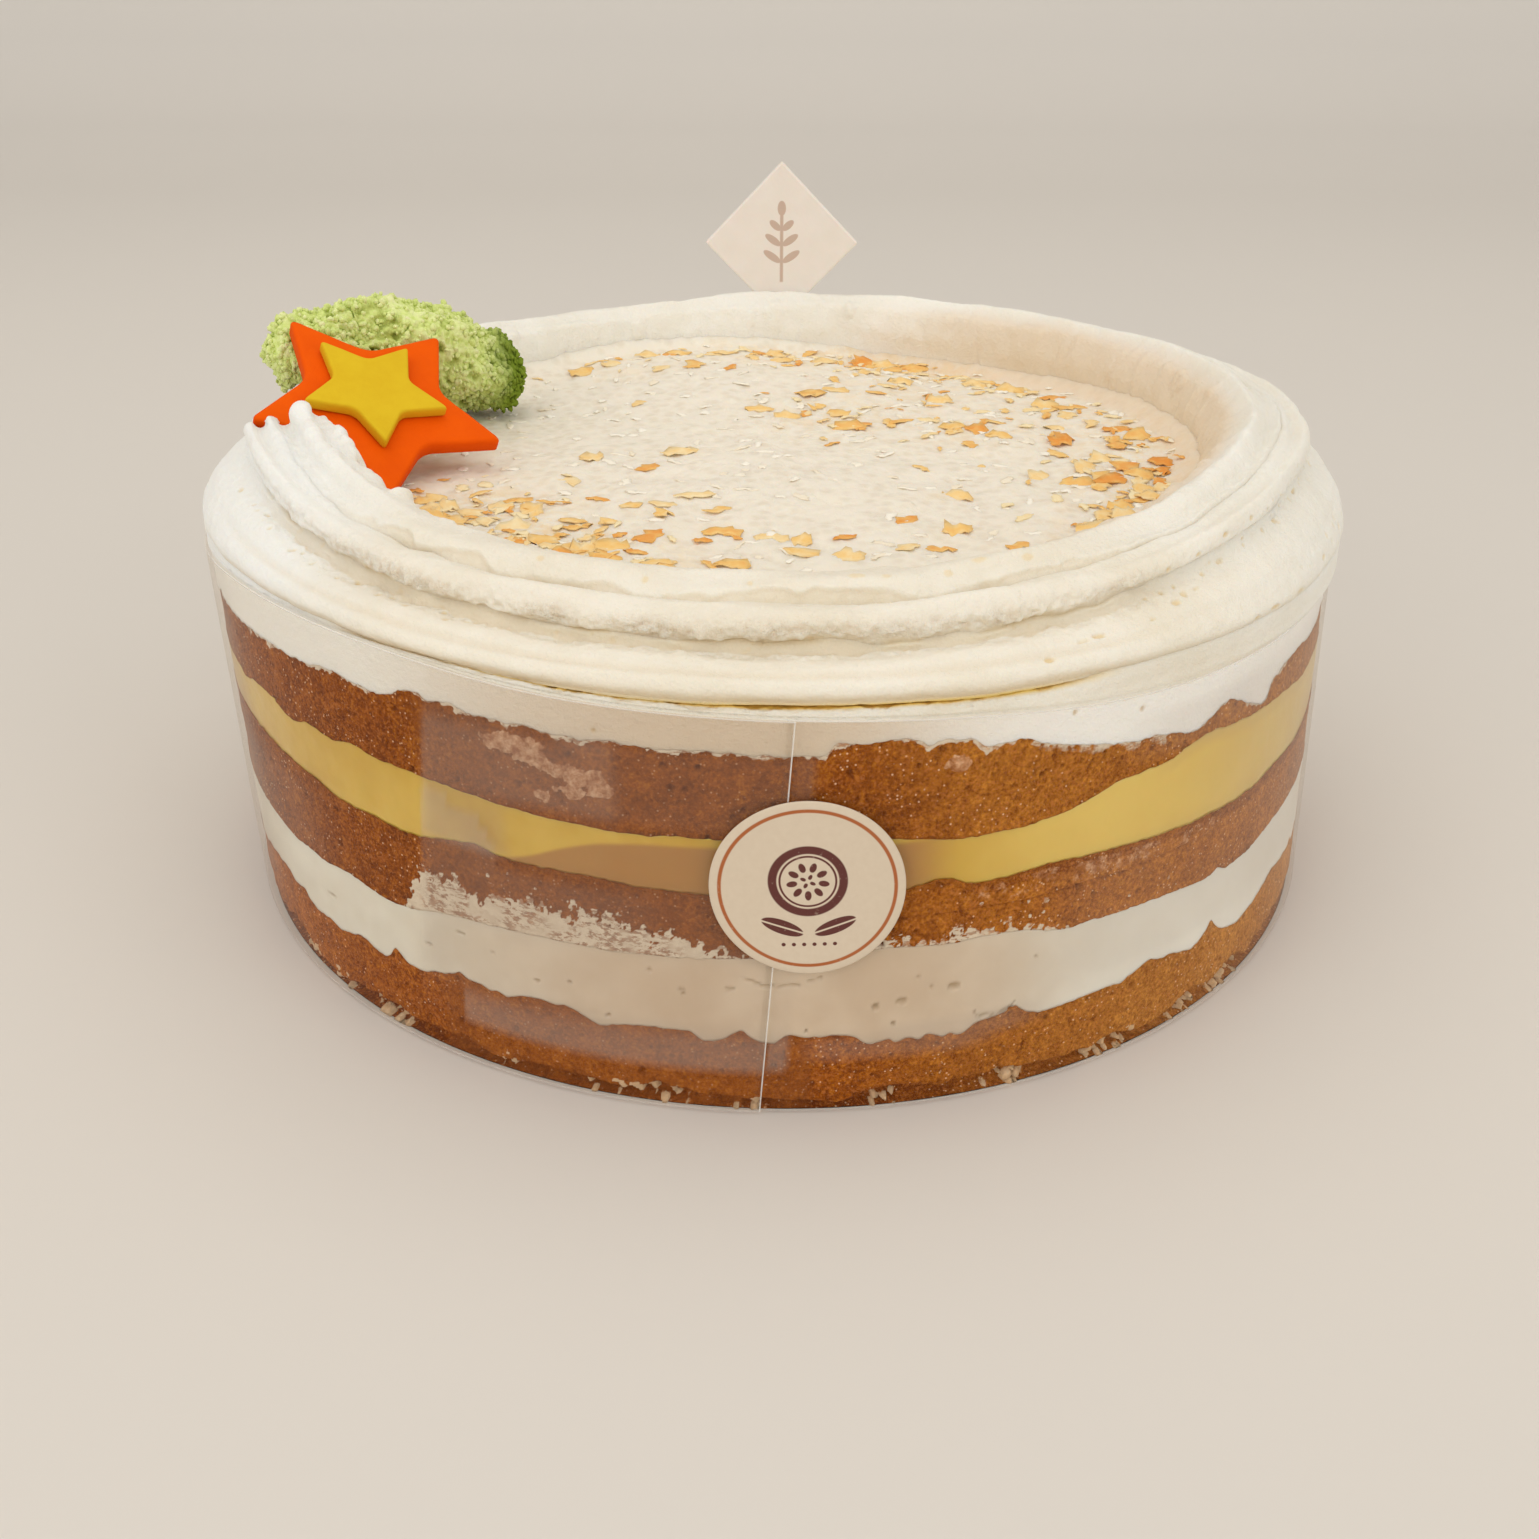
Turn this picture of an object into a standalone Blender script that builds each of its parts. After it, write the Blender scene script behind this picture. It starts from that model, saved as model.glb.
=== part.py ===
"""Passion fruit layer cake in a clear film collar, with a piped cream border,
toasted coconut and toppings. Metres, +Z up, front toward -Y, origin under the base."""
import math
import random

import bmesh
import bpy
import numpy as np
from mathutils import Matrix, Vector

NAME = "passion_fruit_cake"

# Driving dimensions of the cake
LAYER_RADIUS = 0.1094
COLLAR_HEIGHT = 0.0694
TOP_TAPER = 0.013
TOP_LEAN = (-0.0023, 0.0005)
GAP = 0.0003
STEPS = 72

# Height of each boundary at the cake's side, as (azimuth, height) stations.
# Azimuth is in degrees from the front toward +X.
SPONGE_1_TOP = ((-150, 0.0150), (-100, 0.0135), (-60, 0.0139), (-30, 0.0158), (0, 0.0142),
                (30, 0.0142), (60, 0.0135), (105, 0.0150), (150, 0.0140))
CREAM_1_TOP = ((-150, 0.0285), (-100, 0.0280), (-60, 0.0270), (-30, 0.0265), (0, 0.0290),
               (15, 0.0303), (35, 0.0277), (60, 0.0282), (105, 0.0290), (150, 0.0280))
SPONGE_2_TOP = ((-150, 0.0415), (-100, 0.0425), (-60, 0.0436), (-30, 0.0415), (0, 0.0407),
                (35, 0.0402), (70, 0.0402), (105, 0.0410), (150, 0.0405))
CURD_TOP = ((-150, 0.0505), (-100, 0.0520), (-60, 0.0530), (-32, 0.0523), (-12, 0.0495),
            (2, 0.0500), (18, 0.0484), (42, 0.0538), (62, 0.0528), (105, 0.0510), (150, 0.0515))
SPONGE_3_TOP = ((-150, 0.0625), (-100, 0.0620), (-55, 0.0638), (-28, 0.0666), (0, 0.0640),
                (14, 0.0647), (34, 0.0578), (60, 0.0600), (105, 0.0610), (150, 0.0605))
BOUNDARIES = (SPONGE_1_TOP, CREAM_1_TOP, SPONGE_2_TOP, CURD_TOP, SPONGE_3_TOP)

# The recessed coconut floor inside the border
FLOOR_HEIGHT = 0.0766
FLOOR_RADIUS = 0.0815
FLOOR_WAVES = ((0.0009, 2, 0.021, 0.4), (0.0007, 3, 0.015, 2.1), (0.0006, 5, 0.012, 4.0))

# The piped border: base and crest heights, crest shift and foot bulge outward, and how far
# its section is the side one
BORDER_BASE = ((-100, 0.0725), (-45, 0.0728), (0, 0.0706), (45, 0.0700), (100, 0.0708), (180, 0.0716))
BORDER_CREST = ((-150, 0.0868), (-105, 0.0885), (-70, 0.0925), (-42, 0.0862), (0, 0.0836),
                (40, 0.0856), (72, 0.0912), (98, 0.0905), (145, 0.0890), (180, 0.0890))
BORDER_LEAN = ((-150, 0.0), (-70, 0.0), (0, 0.0), (40, 0.0008), (72, 0.0032), (98, 0.0022), (145, 0.0008))
BORDER_BULGE = ((-150, 0.0), (-100, 0.0003), (-72, 0.0004), (-40, 0.0), (40, 0.0), (72, 0.0017), (105, 0.0010),
                (150, 0.0))
SIDE_SHARE = ((-180, 0.5), (-120, 0.8), (-72, 1.0), (-50, 0.3), (-20, 0.0), (20, 0.0),
              (50, 0.3), (72, 1.0), (120, 0.8))
# Its section from the inner foot over the ridges to the outer foot: radius, share of height
# at the front, share of height at the sides
BORDER_SECTION = ((0.0819, 0.00, 0.00), (0.0819, 0.45, 0.35), (0.0823, 0.64, 0.55), (0.0837, 0.85, 0.78),
                  (0.0856, 0.955, 0.93), (0.0876, 1.00, 1.00), (0.0898, 0.985, 0.965), (0.0918, 0.92, 0.88),
                  (0.0934, 0.82, 0.80), (0.0944, 0.835, 0.84), (0.0960, 0.875, 0.88), (0.0977, 0.83, 0.83),
                  (0.0989, 0.72, 0.72), (0.0988, 0.58, 0.65), (0.0974, 0.46, 0.60), (0.0990, 0.475, 0.61),
                  (0.1010, 0.53, 0.57), (0.1032, 0.535, 0.47), (0.1051, 0.45, 0.36), (0.1061, 0.375, 0.27),
                  (0.1077, 0.27, 0.17), (0.1080, 0.16, 0.08), (0.1072, 0.06, 0.02), (0.1058, 0.00, 0.00),
                  (0.0940, 0.00, 0.00))

# The film collar is one strip wound round the cake, its ends lapped at the front
FILM_THICKNESS = 0.00025
FILM_RADIUS = LAYER_RADIUS + GAP
FILM_RISE = 0.0005
FILM_FOOT = 0.0005
FILM_TOP = ((-150, 0.0700), (-100, 0.0680), (-72, 0.0690), (-55, 0.0726), (-35, 0.0732), (-15, 0.0709),
            (0, 0.0696), (15, 0.0683), (30, 0.0664), (48, 0.0656), (64, 0.0660), (100, 0.0680), (150, 0.0700))
FILM_START = -9.0
FILM_END_TOP = 2.4
FILM_END_FOOT = -1.4

# The round label on the film, over the lap
LABEL_RADIUS = 0.0148
LABEL_THICKNESS = 0.0003
LABEL_AZIMUTH = 3.0
LABEL_HEIGHT = 0.0424

# The leaning star: middle of its face, its normal, its first tip's direction
STAR_RADIUS = 0.0243
STAR_INNER = 0.0130
STAR_THICKNESS = 0.0030
STAR_CENTRE = Vector((-0.0760, -0.0148, 0.0896))
STAR_NORMAL = Vector((0.354, -0.402, 0.845))
STAR_TIP = Vector((0.0081, 0.0217, 0.0069))
SMALL_STAR_RADIUS = 0.0141
SMALL_STAR_INNER = 0.0073
SMALL_STAR_THICKNESS = 0.0022
SMALL_STAR_TURN = 3.0
SMALL_STAR_SHIFT = (0.0002, 0.0011)
TIP_ROUNDING = 0.10
HOLLOW_ROUNDING = 0.16

# The torn chunk of green sponge behind the star: path, half width and half height
MOSS_PATH = ((-0.0957, -0.0048, 0.0930, 0.0040, 0.0038), (-0.0938, 0.0030, 0.0938, 0.0068, 0.0068),
             (-0.0885, 0.0105, 0.0925, 0.0095, 0.0086), (-0.0800, 0.0170, 0.0912, 0.0105, 0.0105),
             (-0.0715, 0.0230, 0.0880, 0.0105, 0.0108), (-0.0640, 0.0280, 0.0838, 0.0085, 0.0085),
             (-0.0575, 0.0330, 0.0805, 0.0045, 0.0045))
MOSS_ROWS = 12
MOSS_AROUND = 16
MOSS_LIFT = 0.0006
CUT_MARGIN = 0.00045

# The square plaque that stands on a corner in the border at the back
PLAQUE_SIDE = 0.0263
PLAQUE_THICKNESS = 0.0022
PLAQUE_PLACE = (-0.0004, 0.0920, 0.1003)

# Patches of toasted coconut: middle x and y, spread in metres, and how many large flakes
FLAKE_PATCHES = ((-0.059, -0.044, 0.009, 3), (-0.043, -0.058, 0.009, 4), (-0.029, -0.054, 0.008, 2),
                 (-0.044, -0.033, 0.006, 1), (-0.032, -0.018, 0.007, 2), (-0.012, -0.048, 0.012, 2),
                 (0.004, -0.057, 0.010, 3), (0.028, -0.058, 0.010, 3), (0.057, -0.046, 0.008, 2),
                 (0.062, -0.024, 0.009, 3), (0.062, 0.005, 0.009, 4), (0.054, 0.030, 0.009, 3),
                 (0.036, 0.006, 0.009, 2), (0.025, 0.045, 0.012, 2), (0.020, 0.068, 0.011, 3),
                 (-0.006, 0.068, 0.012, 2), (-0.030, 0.066, 0.008, 3), (0.003, 0.014, 0.012, 2),
                 (-0.036, 0.031, 0.009, 1), (0.018, -0.028, 0.010, 1))
FLAKE_SIZE = (0.0056, 0.0030, 0.0010)
FLAKE_SPACING = 0.0054
FLAKE_ATTEMPTS = 60


def clear_scene():
    for old in list(bpy.data.objects):
        bpy.data.objects.remove(old, do_unlink=True)


def collection(name):
    new = bpy.data.collections.new(name)
    bpy.context.scene.collection.children.link(new)
    return new


def material(name, colour, roughness, alpha=1.0):
    new = bpy.data.materials.new(name)
    new.use_nodes = True
    shader = new.node_tree.nodes["Principled BSDF"]
    shader.inputs["Base Color"].default_value = (*colour, 1.0)
    shader.inputs["Roughness"].default_value = roughness
    shader.inputs["Metallic"].default_value = 0.0
    shader.inputs["Alpha"].default_value = alpha
    new.diffuse_color = (*colour, alpha)
    return new


def around(stations, azimuth):
    """A smooth periodic value at an azimuth in degrees, by a cubic through the stations."""
    at = np.array([s[0] for s in stations], float)
    value = np.array([s[1] for s in stations], float)
    at = np.concatenate([at - 360.0, at, at + 360.0])
    value = np.tile(value, 3)
    slope = np.gradient(value, at)
    azimuth = (np.asarray(azimuth, float) + 180.0) % 360.0 - 180.0
    k = np.clip(np.searchsorted(at, azimuth, side="right") - 1, 0, len(at) - 2)
    width = at[k + 1] - at[k]
    t = (azimuth - at[k]) / width
    start = value[k] * (1 + 2 * t) * (1 - t) ** 2 + slope[k] * width * t * (1 - t) ** 2
    end = value[k + 1] * t * t * (3 - 2 * t) - slope[k + 1] * width * t * t * (1 - t)
    return start + end


def boundary(level, radius, azimuth):
    """Height of the surface between two layers: flat inside, and its own wave at the side."""
    if level < 0:
        return np.zeros_like(azimuth)
    stations = BOUNDARIES[level]
    middle = float(np.mean([s[1] for s in stations]))
    return middle + (around(stations, azimuth) - middle) * (radius / LAYER_RADIUS) ** 2


def lean(radius, azimuth, height, taper):
    """Place on the cake, whose axis leans a little and whose side tapers a little."""
    share = height / COLLAR_HEIGHT
    angle = np.radians(azimuth)
    wide = radius * (1.0 - taper * share)
    x = wide * np.sin(angle) + TOP_LEAN[0] * np.minimum(share, 1.0)
    y = -wide * np.cos(angle) + TOP_LEAN[1] * np.minimum(share, 1.0)
    return np.stack([x, y, height], axis=-1)


def film_top(azimuth):
    return around(FILM_TOP, azimuth)


def mesh_object(name, mesh, group, look):
    made = bpy.data.objects.new(name, mesh)
    group.objects.link(made)
    if look is not None:
        mesh.materials.clear()
        mesh.materials.append(look)
    return made


def applied(source):
    """The evaluated object as a plain mesh, with the source object removed."""
    graph = bpy.context.evaluated_depsgraph_get()
    graph.update()
    mesh = bpy.data.meshes.new_from_object(source.evaluated_get(graph))
    bpy.data.objects.remove(source, do_unlink=True)
    return mesh


def turned(profile, steps, closed):
    """A profile of (radius, height) points turned once round Z with a Screw modifier."""
    mesh = bpy.data.meshes.new("profile")
    count = len(profile)
    edges = [(k, (k + 1) % count) for k in range(count if closed else count - 1)]
    mesh.from_pydata([(r, 0.0, h) for r, h in profile], edges, [])
    source = bpy.data.objects.new("profile", mesh)
    bpy.context.scene.collection.objects.link(source)
    screw = source.modifiers.new("turn", "SCREW")
    screw.angle = math.tau
    screw.steps = steps
    screw.render_steps = steps
    screw.use_merge_vertices = True
    screw.merge_threshold = 0.0001
    return applied(source)


def outward(mesh):
    """Triangles with every face pointing out of the closed body."""
    work = bmesh.new()
    work.from_mesh(mesh)
    bmesh.ops.triangulate(work, faces=work.faces[:])
    bmesh.ops.recalc_face_normals(work, faces=work.faces[:])
    if work.calc_volume(signed=True) < 0:
        bmesh.ops.reverse_faces(work, faces=work.faces[:])
    work.to_mesh(mesh)
    work.free()
    mesh.shade_smooth()
    mesh.set_sharp_from_angle(angle=math.radians(40))


def reshape(mesh, rule):
    """Move the vertices of a turned mesh: rule takes radius, azimuth, height and gives places."""
    count = len(mesh.vertices)
    flat = np.empty(count * 3, np.float32)
    mesh.vertices.foreach_get("co", flat)
    place = flat.reshape(count, 3).astype(float)
    radius = np.hypot(place[:, 0], place[:, 1])
    azimuth = np.degrees(np.arctan2(place[:, 0], -place[:, 1]))
    moved = rule(radius, azimuth, place[:, 2])
    mesh.vertices.foreach_set("co", moved.astype(np.float32).ravel())
    mesh.update()


def layer(name, level, group, look, foot_round=False):
    """One layer between two boundaries, turned in a frame whose height is the share of the layer."""
    side = [(LAYER_RADIUS, 1.0), (LAYER_RADIUS + 0.0, 0.5), (LAYER_RADIUS, 0.0)]
    if foot_round:
        side = [(LAYER_RADIUS, 1.0), (LAYER_RADIUS, 0.45), (0.1088, 0.2), (0.1070, 0.05), (0.1050, 0.0)]
    profile = [(0.0, 1.0), (0.07, 1.0)] + side + [(0.07, 0.0), (0.0, 0.0)]
    mesh = turned(profile, STEPS, closed=False)

    def rule(radius, azimuth, share):
        low = boundary(level - 1, radius, azimuth) + (GAP / 2 if level > 0 else 0.0)
        high = boundary(level, radius, azimuth) - GAP / 2
        return lean(radius, azimuth, low + (high - low) * share, TOP_TAPER)

    reshape(mesh, rule)
    outward(mesh)
    return mesh_object(name, mesh, group, look)


def floor_height(x, y):
    """The uneven coconut floor, a sum of slow waves."""
    height = np.full_like(x, FLOOR_HEIGHT)
    for size, turns, length, phase in FLOOR_WAVES:
        angle = phase * turns
        height = height + size * np.sin((x * math.cos(angle) + y * math.sin(angle)) / length + phase)
    return height


def top_cream(group, look):
    """The top cream: lip at the film's edge, shoulder under the border, raised floor inside."""
    profile = [(0.0, 5.0), (0.022, 5.0), (0.044, 5.0), (0.064, 5.0), (FLOOR_RADIUS, 5.0),
               (FLOOR_RADIUS + 0.0001, 4.0), (0.0940, 4.0), (0.1062, 4.0), (0.1078, 3.0),
               (LAYER_RADIUS, 2.0), (LAYER_RADIUS, 1.0), (LAYER_RADIUS, 0.0), (0.07, 0.0), (0.0, 0.0)]
    mesh = turned(profile, STEPS, closed=False)

    def rule(radius, azimuth, row):
        low = boundary(4, radius, azimuth) + GAP / 2
        x = radius * np.sin(np.radians(azimuth))
        y = -radius * np.cos(np.radians(azimuth))
        rim = film_top(azimuth) - 0.0002
        shoulder = around(BORDER_BASE, azimuth) - GAP
        height = np.select([row > 4.5, row > 3.5, row > 2.5, row > 1.5, row > 0.5],
                           [floor_height(x, y), shoulder, (rim + shoulder) / 2 + 0.0003, rim, (rim + low) / 2], low)
        taper = np.where(row > 2.5, 0.0, TOP_TAPER)
        bulge = around(BORDER_BULGE, azimuth) * (row < 4.5) * (radius > 0.10)
        place = lean(radius + bulge, azimuth, height, 0.0)
        tapered = lean(radius, azimuth, height, TOP_TAPER)
        return np.where((taper > 0)[:, None], tapered, place)

    reshape(mesh, rule)
    outward(mesh)
    return mesh_object("cream_top", mesh, group, look)


def border_place(radius, azimuth, row):
    """The border's section carried round the rim: front section at the front, side section at the sides."""
    low = around(BORDER_BASE, azimuth)
    crest = around(BORDER_CREST, azimuth)
    side = np.clip(around(SIDE_SHARE, azimuth), 0.0, 1.0)
    section = np.array(BORDER_SECTION)[np.round(row).astype(int)]
    share = section[:, 1] + (section[:, 2] - section[:, 1]) * side
    turn = np.radians(azimuth)
    wave = 0.35 * np.sin(turn * 9 + radius * 900) + 0.3 * np.sin(turn * 16 - radius * 700)
    height = low + (crest - low) * share + 0.0008 * wave * share
    push = around(BORDER_LEAN, azimuth) * np.clip(share, 0, 1) ** 1.5 * np.clip((0.1085 - radius) / 0.010, 0, 1)
    bulge = around(BORDER_BULGE, azimuth) * np.clip((radius - 0.099) / 0.006, 0, 1)
    out = radius + push + bulge + 0.0005 * wave * (share > 0.5)
    return lean(out, azimuth, height, 0.0)


def piped_border(group, look):
    """The section turned with its point numbers as heights, then shaped."""
    section = [(point[0], float(number)) for number, point in enumerate(BORDER_SECTION)]
    mesh = turned(section, STEPS, closed=True)
    reshape(mesh, border_place)
    outward(mesh)
    return mesh_object("piped_border", mesh, group, look)


def star_outline(radius, inner):
    """Ten corners of a star, each rounded by a short arc of four points."""
    corners = []
    for k in range(10):
        angle = math.pi * k / 5
        reach = inner if k % 2 else radius
        corners.append(Vector((reach * math.cos(angle), reach * math.sin(angle))))
    outline = []
    for k, corner in enumerate(corners):
        rounding = HOLLOW_ROUNDING if k % 2 else TIP_ROUNDING
        start = corner.lerp(corners[k - 1], rounding)
        end = corner.lerp(corners[(k + 1) % 10], rounding)
        for step in range(4):
            t = step / 3
            outline.append(start * (1 - t) ** 2 + corner * 2 * t * (1 - t) + end * t * t)
    return outline


def star_frame(shift, turn):
    """Frame whose Z is the star's normal and whose X points at its first tip."""
    up = STAR_NORMAL.normalized()
    along = (STAR_TIP - up * STAR_TIP.dot(up)).normalized()
    side = up.cross(along)
    frame = Matrix((along, side, up)).transposed().to_4x4()
    frame.translation = STAR_CENTRE + along * shift[0] + side * shift[1]
    return frame @ Matrix.Rotation(math.radians(turn), 4, "Z")


def slab(name, outline, low, high, soft, frame, group, look):
    """A flat outline extruded between two heights along its frame's Z, with softened edges."""
    curve = bpy.data.curves.new(name, "CURVE")
    curve.dimensions = "2D"
    curve.fill_mode = "BOTH"
    curve.extrude = (high - low) / 2 - soft
    curve.bevel_depth = soft
    curve.bevel_resolution = 0
    spline = curve.splines.new("POLY")
    spline.points.add(len(outline) - 1)
    for point, place in zip(spline.points, outline):
        point.co = (place.x, place.y, 0.0, 1.0)
    spline.use_cyclic_u = True
    source = bpy.data.objects.new(name, curve)
    bpy.context.scene.collection.objects.link(source)
    mesh = applied(source)
    work = bmesh.new()
    work.from_mesh(mesh)
    bmesh.ops.remove_doubles(work, verts=work.verts[:], dist=0.00002)
    work.to_mesh(mesh)
    work.free()
    outward(mesh)
    made = mesh_object(name, mesh, group, look)
    made.matrix_world = frame @ Matrix.Translation((0.0, 0.0, (low + high) / 2))
    return made


def star_cutters(group):
    """Room for both stars in the cream: their outlines with a margin, a little thicker than they are."""
    outline = star_outline(STAR_RADIUS + 0.0009, STAR_INNER + 0.0006)
    frame = star_frame((0.0, 0.0), 0.0)
    large = slab("star_room", outline, -STAR_THICKNESS - GAP, GAP, 0.0, frame, group, None)
    outline = star_outline(SMALL_STAR_RADIUS + 0.0009, SMALL_STAR_INNER + 0.0006)
    frame = star_frame(SMALL_STAR_SHIFT, SMALL_STAR_TURN)
    small = slab("small_star_room", outline, 0.0, SMALL_STAR_THICKNESS + 2 * GAP, 0.0, frame, group, None)
    return large, small


def cut(body, cutter):
    cutter.hide_render = True
    cutter.display_type = "WIRE"
    modifier = body.modifiers.new(cutter.name, "BOOLEAN")
    modifier.operation = "DIFFERENCE"
    modifier.solver = "EXACT"
    modifier.object = cutter


def grown_copy(body, group):
    """A copy of a body swollen by a little over the gap, to cut its neighbour clear of it."""
    copy = bpy.data.objects.new(body.name + "_room", body.data)
    group.objects.link(copy)
    swell = copy.modifiers.new("swell", "DISPLACE")
    swell.strength = CUT_MARGIN
    swell.mid_level = 0.0
    return copy


def support(x, y):
    """Height of what lies under the moss: the border's crest line or the coconut floor."""
    radius = np.hypot(x - TOP_LEAN[0], y - TOP_LEAN[1])
    azimuth = np.degrees(np.arctan2(x - TOP_LEAN[0], -(y - TOP_LEAN[1])))
    crest = around(BORDER_CREST, azimuth) + 0.0006
    shift = radius - 0.0876 - around(BORDER_LEAN, azimuth)
    inside = np.clip((shift + 0.0080) / 0.0045, 0, 1)
    outside = np.clip((0.0145 - shift) / 0.009, 0, 1)
    floor = floor_height(x, y) + 0.0004
    return floor + (crest - floor) * np.minimum(inside, outside)


def moss_rows():
    """Lumpy rounded sections along the chunk's path, as places of shape (rows, around, 3)."""
    station = np.array(MOSS_PATH)
    at = np.linspace(0, len(station) - 1, MOSS_ROWS)
    path = np.stack([np.interp(at, np.arange(len(station)), station[:, k]) for k in range(5)], axis=1)
    ahead = np.gradient(path[:, :3], axis=0)
    ahead /= np.linalg.norm(ahead, axis=1)[:, None]
    side = np.cross(ahead, (0.0, 0.0, 1.0))
    side /= np.linalg.norm(side, axis=1)[:, None]
    up = np.cross(side, ahead)
    angle = np.linspace(0, math.tau, MOSS_AROUND, endpoint=False)[None, :]
    row = at[:, None]
    lump = 1 + 0.13 * np.sin(3 * angle + 1.7 * row) + 0.09 * np.sin(5 * angle - 2.3 * row)
    wide = (np.cos(angle) * path[:, 3:4] * lump)[..., None]
    tall = (np.sin(angle) * path[:, 4:5] * lump)[..., None]
    place = path[:, None, :3] + side[:, None] * wide + up[:, None] * tall
    place[..., 2] = np.maximum(place[..., 2], support(place[..., 0], place[..., 1]) + MOSS_LIFT)
    return place


def moss(group, look):
    """A torn chunk of sponge that rests on what lies under it."""
    work = bmesh.new()
    grid = [[work.verts.new(point) for point in row] for row in moss_rows()]
    for k in range(MOSS_ROWS - 1):
        for j in range(MOSS_AROUND):
            i = (j + 1) % MOSS_AROUND
            work.faces.new((grid[k][j], grid[k][i], grid[k + 1][i], grid[k + 1][j]))
    work.faces.new(grid[0])
    work.faces.new(list(reversed(grid[-1])))
    bmesh.ops.poke(work, faces=[f for f in work.faces if len(f.verts) > 4])
    mesh = bpy.data.meshes.new("moss_sponge")
    work.to_mesh(mesh)
    work.free()
    outward(mesh)
    return mesh_object("moss_sponge", mesh, group, look)


def flake_mesh(place, heading, size, bow, tilt):
    """A thin bowed strip: a cube cut into two lengths and bent."""
    work = bmesh.new()
    bmesh.ops.create_cube(work, size=1.0)
    lengthwise = [e for e in work.edges if abs((e.verts[0].co - e.verts[1].co).x) > 0.5]
    bmesh.ops.subdivide_edges(work, edges=lengthwise, cuts=1)
    for vertex in work.verts:
        t = vertex.co.x
        vertex.co.z = vertex.co.z * size[2] + bow * (0.25 - t * t)
        vertex.co.x = t * size[0]
        vertex.co.y = vertex.co.y * size[1] * (1.0 - 1.2 * t * t)
    turn = Matrix.Rotation(heading, 4, "Z") @ Matrix.Rotation(tilt, 4, "X")
    bmesh.ops.transform(work, matrix=Matrix.Translation(place) @ turn, verts=work.verts[:])
    bmesh.ops.triangulate(work, faces=work.faces[:])
    mesh = bpy.data.meshes.new("flake")
    work.to_mesh(mesh)
    work.free()
    return mesh


def clear_of_toppings(x, y):
    """True where a flake touches neither the star, the moss nor the border."""
    middle = TOP_LEAN
    if math.hypot(x - middle[0], y - middle[1]) > 0.0768:
        return False
    if math.hypot(x - STAR_CENTRE.x, y - STAR_CENTRE.y) < STAR_RADIUS + 0.0055:
        return False
    return all(math.hypot(x - p[0], y - p[1]) > p[3] + 0.0065 for p in MOSS_PATH)


def flake_places():
    """Flakes drawn patch by patch, no two closer than the spacing: x, y, heading, size, bow, tilt."""
    draw = random.Random(7)
    places = []
    for middle_x, middle_y, spread, count in FLAKE_PATCHES:
        wanted = len(places) + count
        for attempt in range(FLAKE_ATTEMPTS):
            if len(places) >= wanted:
                break
            x = draw.gauss(middle_x, spread * 0.6)
            y = draw.gauss(middle_y, spread * 0.6)
            crowded = any(math.hypot(x - p[0], y - p[1]) < FLAKE_SPACING for p in places)
            if crowded or not clear_of_toppings(x, y):
                continue
            places.append((x, y, draw.uniform(0, math.tau), draw.uniform(0.75, 1.2),
                           draw.uniform(0.0006, 0.0014), draw.uniform(-0.18, 0.18)))
    return places


def scatter_flakes(group):
    for number, (x, y, heading, grow, bow, tilt) in enumerate(flake_places()):
        size = [side * grow for side in FLAKE_SIZE]
        height = float(floor_height(np.array([x]), np.array([y]))[0]) + 0.0002
        mesh = flake_mesh(Vector((x, y, height)), heading, size, bow, tilt)
        mesh_object("flake_%02d" % number, mesh, group, None)


def fuse(body, group):
    """Join a collection's pieces to a body with one Boolean union, applied."""
    name = body.name
    look = body.data.materials[0]
    home = body.users_collection[0]
    modifier = body.modifiers.new("fuse", "BOOLEAN")
    modifier.operation = "UNION"
    modifier.solver = "MANIFOLD"
    modifier.operand_type = "COLLECTION"
    modifier.collection = group
    mesh = applied(body)
    for piece in list(group.objects):
        bpy.data.objects.remove(piece, do_unlink=True)
    bpy.data.collections.remove(group)
    outward(mesh)
    return mesh_object(name, mesh, home, look)


def film_collar(group, look):
    """The strip's four corner lines carried round the cake, rising outward by one lap."""
    stations = 100
    work = bmesh.new()
    loops = []
    for k in range(stations + 1):
        share = k / stations
        inner = FILM_RADIUS + FILM_RISE * share
        corners = []
        for side, wall in ((0, 0.0), (1, 0.0), (1, FILM_THICKNESS), (0, FILM_THICKNESS)):
            end = FILM_END_TOP if side else FILM_END_FOOT
            azimuth = FILM_START + (360.0 + end - FILM_START) * share
            height = FILM_FOOT
            if side:
                height = float(film_top(azimuth))
            place = lean(inner + wall, azimuth, np.float64(height), TOP_TAPER)
            corners.append(work.verts.new(place))
        loops.append(corners)
    for k in range(stations):
        for j in range(4):
            i = (j + 1) % 4
            work.faces.new((loops[k][j], loops[k][i], loops[k + 1][i], loops[k + 1][j]))
    work.faces.new(loops[0])
    work.faces.new(list(reversed(loops[-1])))
    mesh = bpy.data.meshes.new("film_collar")
    work.to_mesh(mesh)
    work.free()
    outward(mesh)
    return mesh_object("film_collar", mesh, group, look)


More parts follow.
